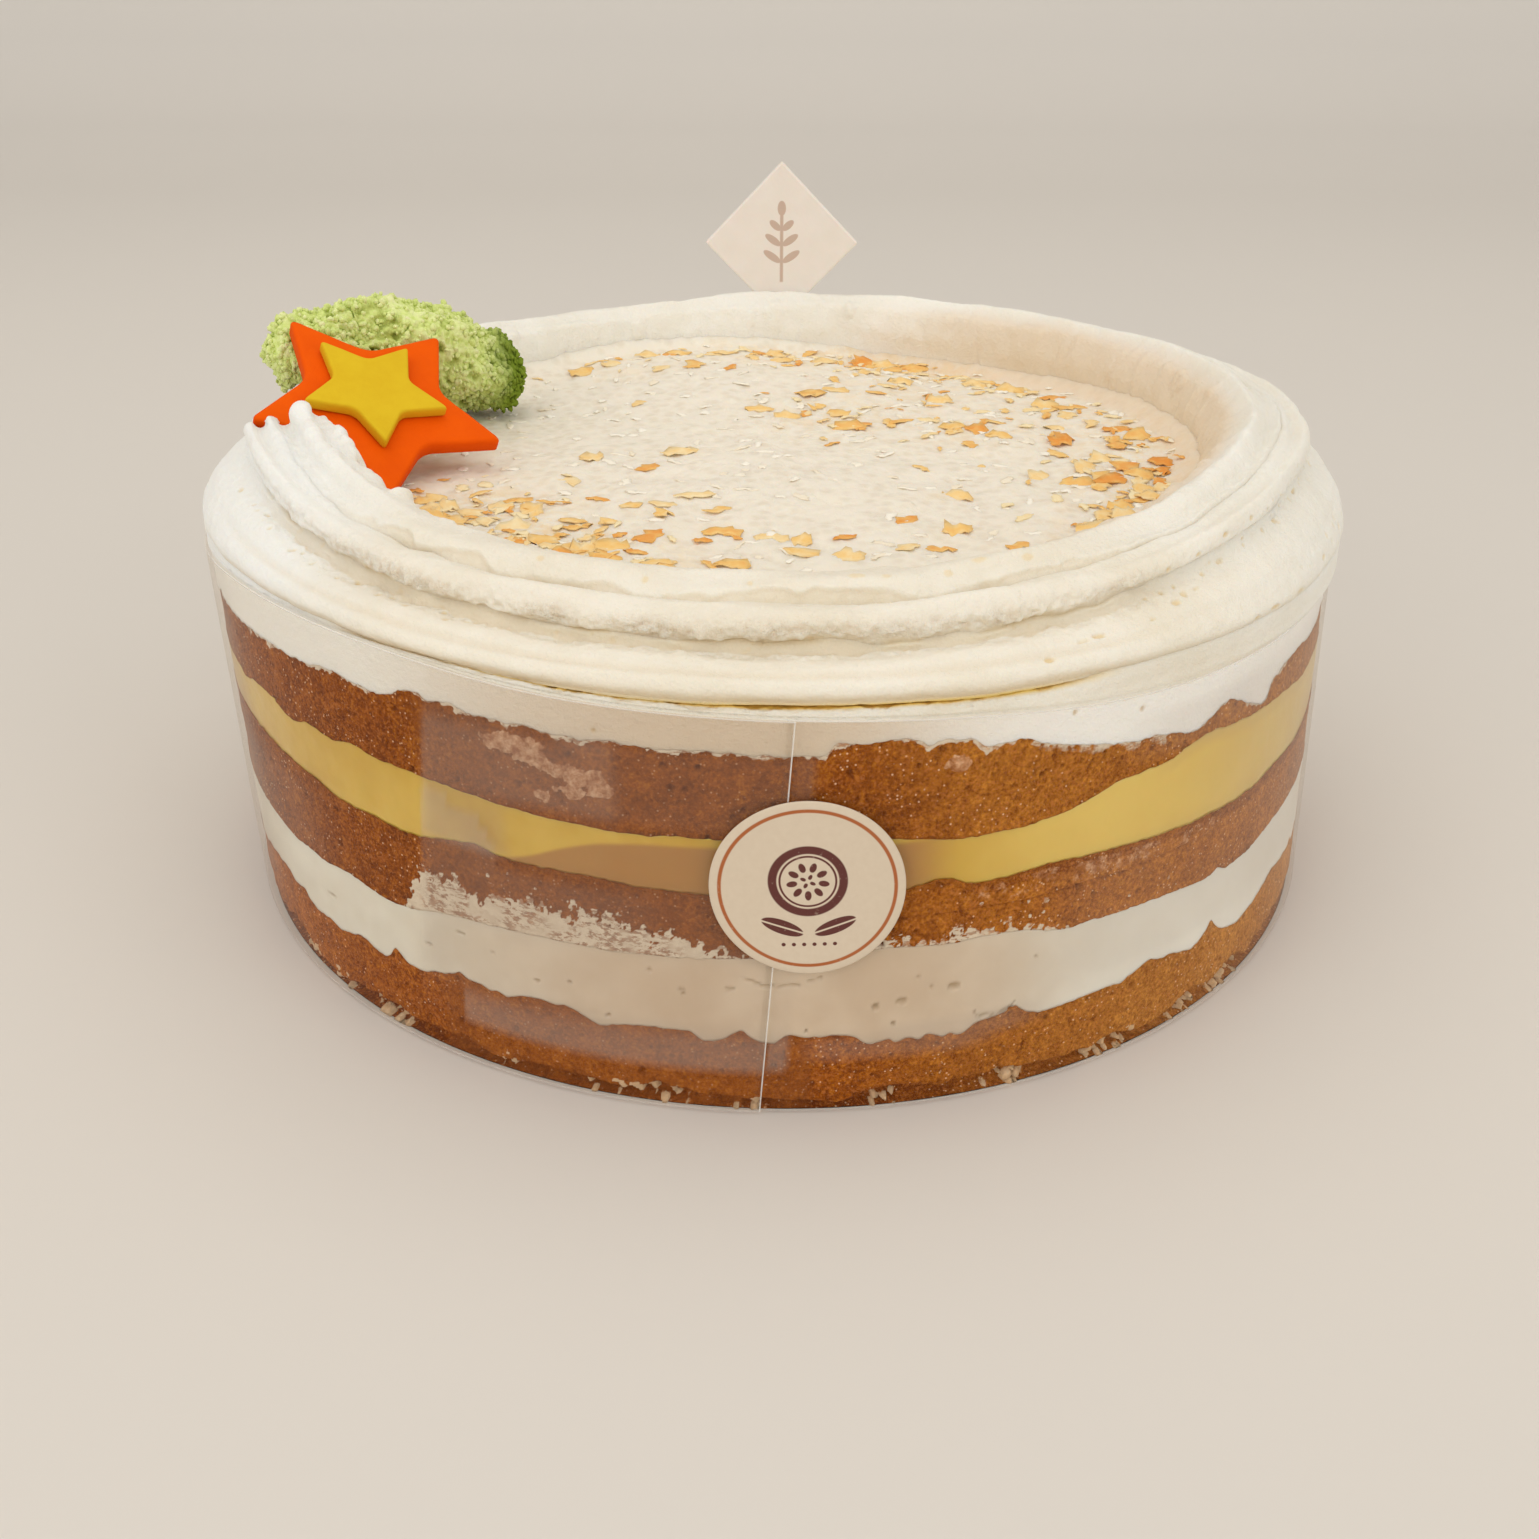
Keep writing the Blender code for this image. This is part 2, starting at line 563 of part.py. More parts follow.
def label(group, look):
    """A thin round disc bent round the film."""
    thick = LABEL_THICKNESS
    profile = [(0.0, thick), (0.0055, thick), (0.0105, thick), (LABEL_RADIUS, thick),
               (LABEL_RADIUS, 0.0), (0.0105, 0.0), (0.0055, 0.0), (0.0, 0.0)]
    mesh = turned(profile, 36, closed=False)
    seat = FILM_RADIUS + FILM_RISE + FILM_THICKNESS + GAP

    def rule(radius, azimuth, depth):
        across = radius * np.sin(np.radians(azimuth))
        height = LABEL_HEIGHT + radius * np.cos(np.radians(azimuth))
        swing = LABEL_AZIMUTH + np.degrees(across / seat)
        return lean(seat + depth, swing, height, TOP_TAPER)

    reshape(mesh, rule)
    outward(mesh)
    return mesh_object("label", mesh, group, look)


def plaque(name, grow, group, look):
    """A square plate standing on one corner, with softened edges."""
    work = bmesh.new()
    bmesh.ops.create_cube(work, size=1.0)
    side = PLAQUE_SIDE + 2 * grow
    bmesh.ops.scale(work, vec=(side, PLAQUE_THICKNESS + 2 * grow, side), verts=work.verts[:])
    bmesh.ops.rotate(work, cent=(0, 0, 0), matrix=Matrix.Rotation(math.radians(45), 3, "Y"), verts=work.verts[:])
    bmesh.ops.translate(work, vec=PLAQUE_PLACE, verts=work.verts[:])
    mesh = bpy.data.meshes.new(name)
    work.to_mesh(mesh)
    work.free()
    made = mesh_object(name, mesh, group, look)
    if grow == 0:
        soft = made.modifiers.new("soft_edges", "BEVEL")
        soft.width = 0.0004
        soft.segments = 2
    return made


def build():
    clear_scene()
    cake = collection(NAME)
    cutters = collection("cutters")
    sponge = material("sponge", (0.36, 0.16, 0.05), 0.9)
    cream = material("cream", (0.87, 0.82, 0.70), 0.5)
    curd = material("curd", (0.80, 0.42, 0.03), 0.25)
    layer("sponge_bottom", 0, cake, sponge, foot_round=True)
    layer("cream_middle", 1, cake, cream)
    layer("sponge_middle", 2, cake, sponge)
    layer("passion_curd", 3, cake, curd)
    layer("sponge_top", 4, cake, sponge)
    flakes = collection("flakes")
    scatter_flakes(flakes)
    top = fuse(top_cream(cake, cream), flakes)
    border = piped_border(cake, material("piped_cream", (0.90, 0.86, 0.77), 0.45))
    rooms = star_cutters(cutters)
    slot = plaque("plaque_slot", GAP, cutters, None)
    cut(top, rooms[0])
    cut(border, rooms[0])
    cut(border, rooms[1])
    cut(border, slot)
    orange = material("orange_sugar", (0.82, 0.10, 0.005), 0.35)
    yellow = material("yellow_sugar", (0.75, 0.47, 0.03), 0.35)
    outline = star_outline(STAR_RADIUS, STAR_INNER)
    slab("star_orange", outline, -STAR_THICKNESS, 0.0, 0.0004, star_frame((0.0, 0.0), 0.0), cake, orange)
    small = star_outline(SMALL_STAR_RADIUS, SMALL_STAR_INNER)
    seat = star_frame(SMALL_STAR_SHIFT, SMALL_STAR_TURN)
    slab("star_yellow", small, GAP, GAP + SMALL_STAR_THICKNESS, 0.0004, seat, cake, yellow)
    chunk = moss(cake, material("green_sponge", (0.36, 0.42, 0.08), 0.95))
    cut(chunk, rooms[0])
    cut(chunk, grown_copy(border, cutters))
    plaque("plaque", 0.0, cake, material("ivory", (0.88, 0.82, 0.68), 0.4))
    film_collar(cake, material("film", (0.95, 0.93, 0.90), 0.05, 0.25))
    label(cake, material("label", (0.80, 0.70, 0.52), 0.6))


build()
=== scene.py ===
"""Looks of a passion fruit layer cake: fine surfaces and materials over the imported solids.
Metres, +Z up, front toward -Y. Azimuth is in degrees from the front toward +X."""
import math
import random
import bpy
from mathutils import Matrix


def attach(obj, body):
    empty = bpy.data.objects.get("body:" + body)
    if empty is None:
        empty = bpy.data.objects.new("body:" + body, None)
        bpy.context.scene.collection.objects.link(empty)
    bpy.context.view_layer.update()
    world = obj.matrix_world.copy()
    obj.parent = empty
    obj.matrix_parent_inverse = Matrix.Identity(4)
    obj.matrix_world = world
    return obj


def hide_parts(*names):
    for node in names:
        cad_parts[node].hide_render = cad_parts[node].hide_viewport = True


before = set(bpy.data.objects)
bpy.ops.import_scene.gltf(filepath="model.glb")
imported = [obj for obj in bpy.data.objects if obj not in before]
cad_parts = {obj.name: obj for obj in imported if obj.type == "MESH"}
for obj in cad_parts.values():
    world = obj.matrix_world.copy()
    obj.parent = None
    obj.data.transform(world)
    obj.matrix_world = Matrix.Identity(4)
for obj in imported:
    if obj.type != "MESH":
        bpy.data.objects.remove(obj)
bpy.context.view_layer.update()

from types import SimpleNamespace

import bpy
import numpy as np
from mathutils import Matrix, Vector

# Sizes shared with the solids
LAYER_RADIUS = 0.1094
COLLAR_HEIGHT = 0.0694
TOP_TAPER = 0.013
TOP_LEAN = (-0.0023, 0.0005)
GAP = 0.0003
SPONGE_1_TOP = ((-150, 0.0150), (-100, 0.0135), (-60, 0.0139), (-30, 0.0158), (0, 0.0142),
                (30, 0.0142), (60, 0.0135), (105, 0.0150), (150, 0.0140))
CREAM_1_TOP = ((-150, 0.0285), (-100, 0.0280), (-60, 0.0270), (-30, 0.0265), (0, 0.0290),
               (15, 0.0303), (35, 0.0277), (60, 0.0282), (105, 0.0290), (150, 0.0280))
SPONGE_2_TOP = ((-150, 0.0415), (-100, 0.0425), (-60, 0.0436), (-30, 0.0415), (0, 0.0407),
                (35, 0.0402), (70, 0.0402), (105, 0.0410), (150, 0.0405))
CURD_TOP = ((-150, 0.0505), (-100, 0.0520), (-60, 0.0530), (-32, 0.0523), (-12, 0.0495),
            (2, 0.0500), (18, 0.0484), (42, 0.0538), (62, 0.0528), (105, 0.0510), (150, 0.0515))
SPONGE_3_TOP = ((-150, 0.0625), (-100, 0.0620), (-55, 0.0638), (-28, 0.0666), (0, 0.0640),
                (14, 0.0647), (34, 0.0578), (60, 0.0600), (105, 0.0610), (150, 0.0605))
BOUNDARIES = (SPONGE_1_TOP, CREAM_1_TOP, SPONGE_2_TOP, CURD_TOP, SPONGE_3_TOP)
FLOOR_HEIGHT = 0.0766
FLOOR_WAVES = ((0.0009, 2, 0.021, 0.4), (0.0007, 3, 0.015, 2.1), (0.0006, 5, 0.012, 4.0))
BORDER_BASE = ((-100, 0.0725), (-45, 0.0728), (0, 0.0706), (45, 0.0700), (100, 0.0708), (180, 0.0716))
BORDER_CREST = ((-150, 0.0868), (-105, 0.0885), (-88, 0.0884), (-70, 0.0925), (-42, 0.0862), (0, 0.0836),
                (40, 0.0856), (72, 0.0912), (98, 0.0905), (145, 0.0890), (180, 0.0890))
BORDER_LEAN = ((-150, 0.0), (-70, 0.0), (0, 0.0), (40, 0.0008), (72, 0.0032), (98, 0.0022), (145, 0.0008))
BORDER_BULGE = ((-150, 0.0), (-100, 0.0003), (-72, 0.0004), (-40, 0.0), (40, 0.0), (72, 0.0017), (105, 0.0010),
                (150, 0.0))
SIDE_SHARE = ((-180, 0.5), (-120, 0.8), (-72, 1.0), (-50, 0.3), (-20, 0.0), (12, 0.0),
              (30, 0.35), (46, 0.85), (72, 1.0), (120, 0.8))
BORDER_SECTION = ((0.0819, 0.00, 0.00), (0.0819, 0.45, 0.35), (0.0823, 0.64, 0.60), (0.0837, 0.85, 0.82),
                  (0.0856, 0.955, 0.89), (0.0876, 1.00, 1.00), (0.0898, 0.985, 0.945), (0.0916, 0.93, 0.875),
                  (0.0932, 0.835, 0.90), (0.0945, 0.835, 0.885), (0.0960, 0.865, 0.845), (0.0976, 0.825, 0.86),
                  (0.0989, 0.725, 0.80), (0.0993, 0.60, 0.73), (0.0986, 0.50, 0.68), (0.0992, 0.385, 0.62),
                  (0.1005, 0.365, 0.555), (0.1025, 0.385, 0.475), (0.1046, 0.355, 0.38), (0.1062, 0.31, 0.28),
                  (0.1074, 0.25, 0.18), (0.1079, 0.16, 0.09), (0.1072, 0.06, 0.02), (0.1058, 0.00, 0.00),
                  (0.0940, 0.00, 0.00))
FILM_THICKNESS = 0.00025
FILM_RADIUS = LAYER_RADIUS + GAP
FILM_RISE = 0.0005
FILM_FOOT = 0.0005
FILM_TOP = ((-150, 0.0700), (-100, 0.0680), (-72, 0.0690), (-55, 0.0726), (-35, 0.0732), (-15, 0.0709),
            (0, 0.0696), (15, 0.0683), (30, 0.0664), (48, 0.0656), (64, 0.0660), (100, 0.0680), (150, 0.0700))
FILM_LAP = 0.6
FILM_END_TOP = 2.4
FILM_END_FOOT = -1.4
LABEL_RADIUS = 0.0148
LABEL_THICKNESS = 0.0003
LABEL_AZIMUTH = 3.0
LABEL_HEIGHT = 0.0424
STAR_RADIUS = 0.0243
STAR_INNER = 0.0130
STAR_THICKNESS = 0.0030
STAR_CENTRE = Vector((-0.0760, -0.0148, 0.0896))
STAR_NORMAL = Vector((0.354, -0.402, 0.845))
STAR_TIP = Vector((0.0081, 0.0217, 0.0069))
SMALL_STAR_RADIUS = 0.0141
SMALL_STAR_INNER = 0.0073
SMALL_STAR_THICKNESS = 0.0022
SMALL_STAR_TURN = 3.0
SMALL_STAR_SHIFT = (0.0002, 0.0011)
TIP_ROUNDING = 0.10
HOLLOW_ROUNDING = 0.16
MOSS_PATH = ((-0.0957, -0.0048, 0.0930, 0.0040, 0.0038), (-0.0938, 0.0030, 0.0938, 0.0068, 0.0068),
             (-0.0885, 0.0105, 0.0925, 0.0095, 0.0086), (-0.0800, 0.0170, 0.0912, 0.0105, 0.0105),
             (-0.0715, 0.0230, 0.0880, 0.0105, 0.0108), (-0.0640, 0.0280, 0.0838, 0.0085, 0.0085),
             (-0.0575, 0.0330, 0.0805, 0.0045, 0.0045))
PLAQUE_PLACE = (-0.0004, 0.0920, 0.1003)
FLAKE_PATCHES = ((-0.059, -0.044, 0.009, 3), (-0.043, -0.058, 0.009, 4), (-0.029, -0.054, 0.008, 2),
                 (-0.044, -0.033, 0.006, 1), (-0.032, -0.018, 0.007, 2), (-0.012, -0.048, 0.012, 2),
                 (0.004, -0.057, 0.010, 3), (0.028, -0.058, 0.010, 3), (0.057, -0.046, 0.008, 2),
                 (0.062, -0.024, 0.009, 3), (0.062, 0.005, 0.009, 4), (0.054, 0.030, 0.009, 3),
                 (0.036, 0.006, 0.009, 2), (0.025, 0.045, 0.012, 2), (0.020, 0.068, 0.011, 3),
                 (-0.006, 0.068, 0.012, 2), (-0.030, 0.066, 0.008, 3), (0.003, 0.014, 0.012, 2),
                 (-0.036, 0.031, 0.009, 1), (0.018, -0.028, 0.010, 1))
FLAKE_SIZE = (0.0056, 0.0030, 0.0010)
FLAKE_SPACING = 0.0054
FLAKE_ATTEMPTS = 60

# The layers' edges at the front: azimuth in degrees and height in millimetres, by turns
EDGE_LINES = (
    (-60, 15, -58, 16, -57, 15.5, -55.5, 16.2, -54.5, 16, -53.5, 15, -52, 15, -51, 15.6, -50, 14, -48.5, 13.3,
     -47, 13.4, -46, 13.8, -45, 13.3, -44, 13, -43, 13.8, -42, 14, -41, 14.8, -40, 14.6, -39, 13.8, -37.5, 13.2,
     -36.8, 14, -36, 16.4, -35.2, 15.4, -34.5, 14.4, -33, 14, -32, 14.5, -31, 15.3, -30, 15.4, -29, 16.2,
     -28.3, 17, -27.5, 16, -26, 16, -25, 15.3, -24.5, 15.7, -23.5, 15, -22.8, 15.6, -22, 16.2, -21, 16.3,
     -19, 16.2, -17.5, 16.2, -16, 15, -15, 14, -14.5, 13.6, -13.5, 14.4, -12, 14.8, -11, 15, -10, 15.2, -9, 14.9,
     -8, 15, -7, 15, -6.6, 14, -6, 13.2, -5, 13.2, -4, 14, -3, 15.2, -2.6, 15.9, -2.2, 14.6, -1.5, 13.5,
     -0.5, 13.1, 0, 13.2, 0.7, 14.2, 1.1, 14.8, 2, 14.5, 3.8, 14.3, 4.6, 14.8, 6, 14.5, 6.8, 14, 7.2, 13,
     8, 12.4, 8.6, 12.6, 9.4, 13.2, 10.2, 12.2, 11, 13.1, 12.2, 12.3, 12.8, 13.4, 13.6, 12.9, 14.2, 12.3,
     14.8, 13, 15.4, 12.2, 16, 12.4, 16.4, 13, 17, 14, 18, 14.2, 19, 14.4, 20, 14.9, 20.7, 15.9, 21.2, 14.8,
     22, 13.8, 23, 13.2, 25, 13.3, 27, 13.5, 30, 13.9, 31.5, 13.6, 33, 14.6, 35.3, 16, 36, 15.2, 38, 14.7,
     40, 13.7, 41, 13.3, 42, 13.8, 43, 15, 43.9, 16.9, 44.5, 15, 46, 13, 48, 12, 49, 11.7, 51, 12.5, 53, 13.3,
     55, 14.5, 57, 15.4, 60, 14.5),
    (-60, 27, -55, 26.8, -50, 26, -48, 26.5, -45, 26.2, -43, 26.8, -41, 27, -39, 26.6, -37, 26, -35, 25.8,
     -33, 26.2, -30, 27.5, -27, 28.3, -20, 28.6, -12, 28.4, -5, 28.8, 3, 29.6, 7, 30, 10, 30.4, 13, 30, 15, 29.8,
     17, 30, 19, 30.2, 21, 29.8, 23, 29, 24, 28.3, 26, 28, 28, 28.3, 30, 28, 34, 27.8, 37, 27.5, 40, 26.8,
     43, 26.4, 44.3, 27.5, 45, 26, 50, 26, 52, 26.8, 55, 27.5, 60, 27.8),
    (-60, 44.3, -55, 43.8, -50, 43.3, -47, 43, -44, 42.7, -42, 41.8, -40, 41.5, -38, 41.2, -36, 41.4, -34, 41,
     -32, 40.8, -30, 41.3, -28, 42, -26, 42.6, -25, 42.8, -24, 42.4, -22, 41.5, -20, 41.3, -18, 41.5, -16, 41.4,
     -14, 41.2, -12, 40.8, -10, 40.3, -5, 40, 3, 40, 10.5, 40.2, 12, 40.3, 13.2, 41.4, 14.2, 42.4, 15, 40.4,
     17, 39.8, 19, 40, 21, 40.2, 22, 40.5, 24, 40.9, 26, 40.5, 30, 40.3, 32, 40, 35, 39.7, 38, 39.3, 40, 39,
     44, 38.7, 48, 38.5, 50, 38.7, 52, 39.3, 55, 39.4, 60, 39.5),
    (-60, 52.5, -58.6, 52.2, -58, 51, -57.2, 52.6, -55, 53.3, -52, 53.7, -50, 53, -48, 52.3, -47.2, 51.2,
     -46.5, 52, -45, 52.8, -43, 53.2, -41, 52.3, -40, 52.6, -38.5, 53.3, -37.5, 53.8, -36, 53, -34, 52.5,
     -32, 52.8, -30, 52.3, -28, 52.2, -26, 51.8, -24, 51.6, -22, 51, -20, 50.8, -18, 50.3, -16, 50.2, -14, 50,
     -12, 49.8, -10, 49.5, -8, 49.8, -5, 49.7, 3, 49.6, 10, 49.4, 12, 48.8, 14, 48.3, 16, 48, 18, 48.2, 20, 48.3,
     22, 48.6, 24, 49.2, 26, 49.9, 28, 51, 29, 51.9, 30, 52.4, 32, 52.5, 34, 52.8, 35, 52.2, 36, 53.2, 38, 54.1,
     39, 54.7, 41, 54.9, 42, 54.6, 44, 54.2, 46, 53.9, 48, 53.5, 50, 53.4, 55, 53, 60, 52),
    (-60, 63.6, -55, 63.8, -50, 64.3, -45, 64.3, -42, 64.8, -40, 65.3, -38, 65.5, -36, 64.8, -34, 64.5, -32, 65,
     -31, 66.2, -29.5, 66.8, -28.5, 66.5, -28, 65.8, -26.5, 66.2, -25.7, 66.8, -25, 66.3, -24, 65.5, -22, 65.3,
     -20, 65.2, -18, 64.8, -16, 64.4, -14.5, 64.3, -13, 64.6, -11, 64.4, -9, 64, -8, 63.8, -6, 64.2, -4, 64,
     -2, 63.8, -1, 63.5, 0, 63.9, 1, 63.4, 3, 63.5, 4.8, 63.5, 5.1, 65, 6, 65.4, 8, 65, 10, 65.5, 12, 65.2,
     12.7, 63.9, 13.3, 64.6, 14, 64.8, 16, 64.3, 16.8, 63.9, 17.1, 63, 18, 62.8, 19.7, 63, 20, 63.4, 21, 63,
     22, 62, 23, 61.5, 24, 61, 26, 60.2, 28, 59.5, 29, 59, 30, 58.6, 32, 58.3, 34, 58, 36, 57.3, 37.8, 56.2,
     39, 56.5, 40, 57, 42, 58.5, 43.4, 59, 45, 57.8, 46.5, 56.3, 48, 55, 49, 54.4, 50, 54.9, 50.4, 56, 51, 57.5,
     52, 58, 53, 58.5, 55, 59, 57, 59.4, 60, 59))
EDGE_SOFTNESS = (0.12, 0.25, 0.5, 0.5, 0.14)

# The camera of the photograph
CAMERA_PLACE = (0.0, -0.30158, 0.16640)
CAMERA_YAW = -0.4203
CAMERA_PITCH = 28.407
CAMERA_ROLL = 0.210
CAMERA_LENS = 36.09
CAMERA_SENSOR = 36.0


# ---- numbers over space ----

def around(stations, azimuth):
    """A smooth periodic value at an azimuth, by a cubic through the stations."""
    at = np.array([s[0] for s in stations], float)
    value = np.array([s[1] for s in stations], float)
    at = np.concatenate([at - 360.0, at, at + 360.0])
    value = np.tile(value, 3)
    slope = np.gradient(value, at)
    azimuth = (np.asarray(azimuth, float) + 180.0) % 360.0 - 180.0
    k = np.clip(np.searchsorted(at, azimuth, side="right") - 1, 0, len(at) - 2)
    width = at[k + 1] - at[k]
    t = (azimuth - at[k]) / width
    start = value[k] * (1 + 2 * t) * (1 - t) ** 2 + slope[k] * width * t * (1 - t) ** 2
    end = value[k + 1] * t * t * (3 - 2 * t) - slope[k + 1] * width * t * t * (1 - t)
    return start + end


def smooth(low, high, value):
    """0 below low, 1 above high, and a smooth step between."""
    t = np.clip((value - low) / (high - low), 0.0, 1.0)
    return t * t * (3 - 2 * t)


def lattice(x, y, z, seed):
    """A repeatable number from 0 to 1 for whole-number places."""
    n = (x * 73856093) ^ (y * 19349663) ^ (z * 83492791) ^ (seed * 40503)
    n = ((n ^ (n >> 13)) * 60493) & 0x7FFFFFFF
    n = ((n ^ (n >> 15)) * 19990303) & 0x7FFFFFFF
    return ((n ^ (n >> 12)) & 0xFFFFF) / 1048575.0


def noise(place, size, seed=0):
    """Smooth noise from -1 to 1: lattice numbers, size metres apart, blended by smooth steps."""
    place = place / size
    base = np.floor(place).astype(np.int64)
    part = place - base
    part = part * part * (3 - 2 * part)
    total = np.zeros(place.shape[:-1])
    for i in (0, 1):
        for j in (0, 1):
            for k in (0, 1):
                weight = ((part[..., 0] if i else 1 - part[..., 0]) * (part[..., 1] if j else 1 - part[..., 1])
                          * (part[..., 2] if k else 1 - part[..., 2]))
                total += weight * lattice(base[..., 0] + i, base[..., 1] + j, base[..., 2] + k, seed)
    return total * 2 - 1


def layered(place, size, octaves, seed=0, fall=0.5):
    """Noise at halving sizes, each weaker than the last."""
    total, weight, most = 0.0, 1.0, 0.0
    for octave in range(octaves):
        total = total + weight * noise(place, size / 2 ** octave, seed + 17 * octave)
        most += weight
        weight *= fall
    return total / most


def cells(place, size, seed=0):
    """Distance to the nearest scattered point, in cell sizes, and that point's own number."""
    place = place / size
    base = np.floor(place).astype(np.int64)
    best = np.full(place.shape[:-1], 9.0)
    own = np.zeros(place.shape[:-1])
    for i in (-1, 0, 1):
        for j in (-1, 0, 1):
            for k in (-1, 0, 1):
                x, y, z = base[..., 0] + i, base[..., 1] + j, base[..., 2] + k
                away = ((x + lattice(x, y, z, seed) - place[..., 0]) ** 2
                        + (y + lattice(x, y, z, seed + 1) - place[..., 1]) ** 2
                        + (z + lattice(x, y, z, seed + 2) - place[..., 2]) ** 2)
                nearer = away < best
                best = np.where(nearer, away, best)
                own = np.where(nearer, lattice(x, y, z, seed + 3), own)
    return np.sqrt(best), own


def lean(radius, azimuth, height, taper):
    """Place on the cake, whose axis leans a little and whose side tapers a little."""
    share = height / COLLAR_HEIGHT
    angle = np.radians(azimuth)
    wide = radius * (1.0 - taper * share)
    x = wide * np.sin(angle) + TOP_LEAN[0] * np.minimum(share, 1.0)
    y = -wide * np.cos(angle) + TOP_LEAN[1] * np.minimum(share, 1.0)
    return np.stack([x, y, height + 0 * x], axis=-1)


def turn_steps(count):
    """Azimuths once round the cake, closer together at the front, where detail is finest."""
    fine = np.linspace(-180, 180, 3601)
    density = 1 + 1.8 * smooth(95, 62, np.abs(fine))
    total = np.concatenate([[0], np.cumsum((density[1:] + density[:-1]) / 2)])
    return np.interp(np.arange(count) / count * total[-1], total, fine)


# ---- meshes ----

def grid_faces(rows, columns, start=0, wrap_rows=False, wrap_columns=True):
    """The four corners of every cell of a grid of points."""
    r = np.arange(rows if wrap_rows else rows - 1)[:, None]
    c = np.arange(columns if wrap_columns else columns - 1)[None, :]
    r2, c2 = (r + 1) % rows, (c + 1) % columns
    corners = [r * columns + c, r * columns + c2, r2 * columns + c2, r2 * columns + c]
    return start + np.stack([np.broadcast_to(k, (len(r), c.shape[1])) for k in corners], -1).reshape(-1, 4)


def mesh_piece(name, points, faces, look, nodes, values=None, flat=()):
    """A piece of the cake from whole arrays: places, groups of faces, numbers kept at each point, and which
    groups are flat, such as hidden closing strips and thin rims."""
    points = np.asarray(points, float).reshape(-1, 3)
    groups = [np.asarray(f, np.int64) for f in faces]
    triangles = np.concatenate([f[:, [0, k, k + 1]] for f in groups for k in range(1, f.shape[1] - 1)])
    a, b, c = (points[triangles[:, k]] for k in range(3))
    if np.einsum("ij,ij->", a, np.cross(b, c)) < 0:
        groups = [f[:, ::-1] for f in groups]
    mesh = bpy.data.meshes.new(name)
    mesh.vertices.add(len(points))
    mesh.vertices.foreach_set("co", points.astype(np.float32).ravel())
    corners = np.concatenate([f.ravel() for f in groups])
    sizes = np.concatenate([np.full(len(f), f.shape[1]) for f in groups])
    mesh.loops.add(len(corners))
    mesh.loops.foreach_set("vertex_index", corners.astype(np.int32))
    mesh.polygons.add(len(sizes))
    mesh.polygons.foreach_set("loop_start", np.concatenate([[0], np.cumsum(sizes)[:-1]]).astype(np.int32))
    smoothed = np.concatenate([np.full(len(f), k not in flat) for k, f in enumerate(groups)])
    mesh.polygons.foreach_set("use_smooth", smoothed)
    mesh.update(calc_edges=True)
    mesh.validate()
    for key, value in (values or {}).items():
        layer = mesh.attributes.new(key, "FLOAT", "POINT")
        layer.data.foreach_set("value", np.asarray(value, np.float32).ravel())
    mesh.materials.append(look.material)
    piece = bpy.data.objects.new(name, mesh)
    bpy.context.scene.collection.objects.link(piece)
    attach(piece, "root")
    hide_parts(*nodes)
    return piece


def turned_piece(name, rows, look, nodes, values=None):
    """A closed turned surface: rows of points round the axis, closed by one point at each end."""
    count, columns = rows.shape[:2]
    ends = np.stack([rows[0].mean(0), rows[-1].mean(0)])
    points = np.concatenate([rows.reshape(-1, 3), ends])
    at = np.arange(columns)
    after = (at + 1) % columns
    first = np.stack([np.full(columns, count * columns), after, at], -1)
    last = np.stack([np.full(columns, count * columns + 1), (count - 1) * columns + at,
                     (count - 1) * columns + after], -1)
    kept = {k: np.concatenate([v.ravel(), [v[0].mean(), v[-1].mean()]]) for k, v in (values or {}).items()}
    return mesh_piece(name, points, [grid_faces(count, columns), np.concatenate([first, last])], look,
                      nodes, kept, (1,))


def grid_normals(rows, wrap_rows=False):
    """Unit normals of a grid of points that closes round its columns, from its neighbours' places."""
    across = np.roll(rows, -1, 1) - np.roll(rows, 1, 1)
    if wrap_rows:
        along = np.roll(rows, -1, 0) - np.roll(rows, 1, 0)
    else:
        along = np.gradient(rows, axis=0)
    normal = np.cross(across, along)
    return normal / np.maximum(np.linalg.norm(normal, axis=-1, keepdims=True), 1e-12)


# ---- materials ----

class Number:
    """A number over the surface. Arithmetic on it adds Math nodes to its material."""

    def __init__(self, look, socket):
        self.look = look
        self.socket = socket

    def math(self, operation, *others, clamp=False):
        values = dict(enumerate((self,) + others))
        made = self.look.node("ShaderNodeMath", {"operation": operation, "use_clamp": clamp}, values)
        return Number(self.look, made.outputs[0])

    def __add__(self, other):
        return self.math("ADD", other)

    def __mul__(self, other):
        return self.math("MULTIPLY", other)

    def __sub__(self, other):
        return self.math("SUBTRACT", other)

    def __rsub__(self, other):
        return self.look.number("SUBTRACT", other, self)

    def __truediv__(self, other):
        return self.math("DIVIDE", other)

    __radd__ = __add__
    __rmul__ = __mul__

    def step(self, low, high):
        """0 below low, 1 above high, with a smooth step between."""
        made = self.look.node("ShaderNodeMapRange", {"interpolation_type": "SMOOTHSTEP"},
                              {0: self, 1: low, 2: high, 3: 0.0, 4: 1.0})
        return Number(self.look, made.outputs[0])


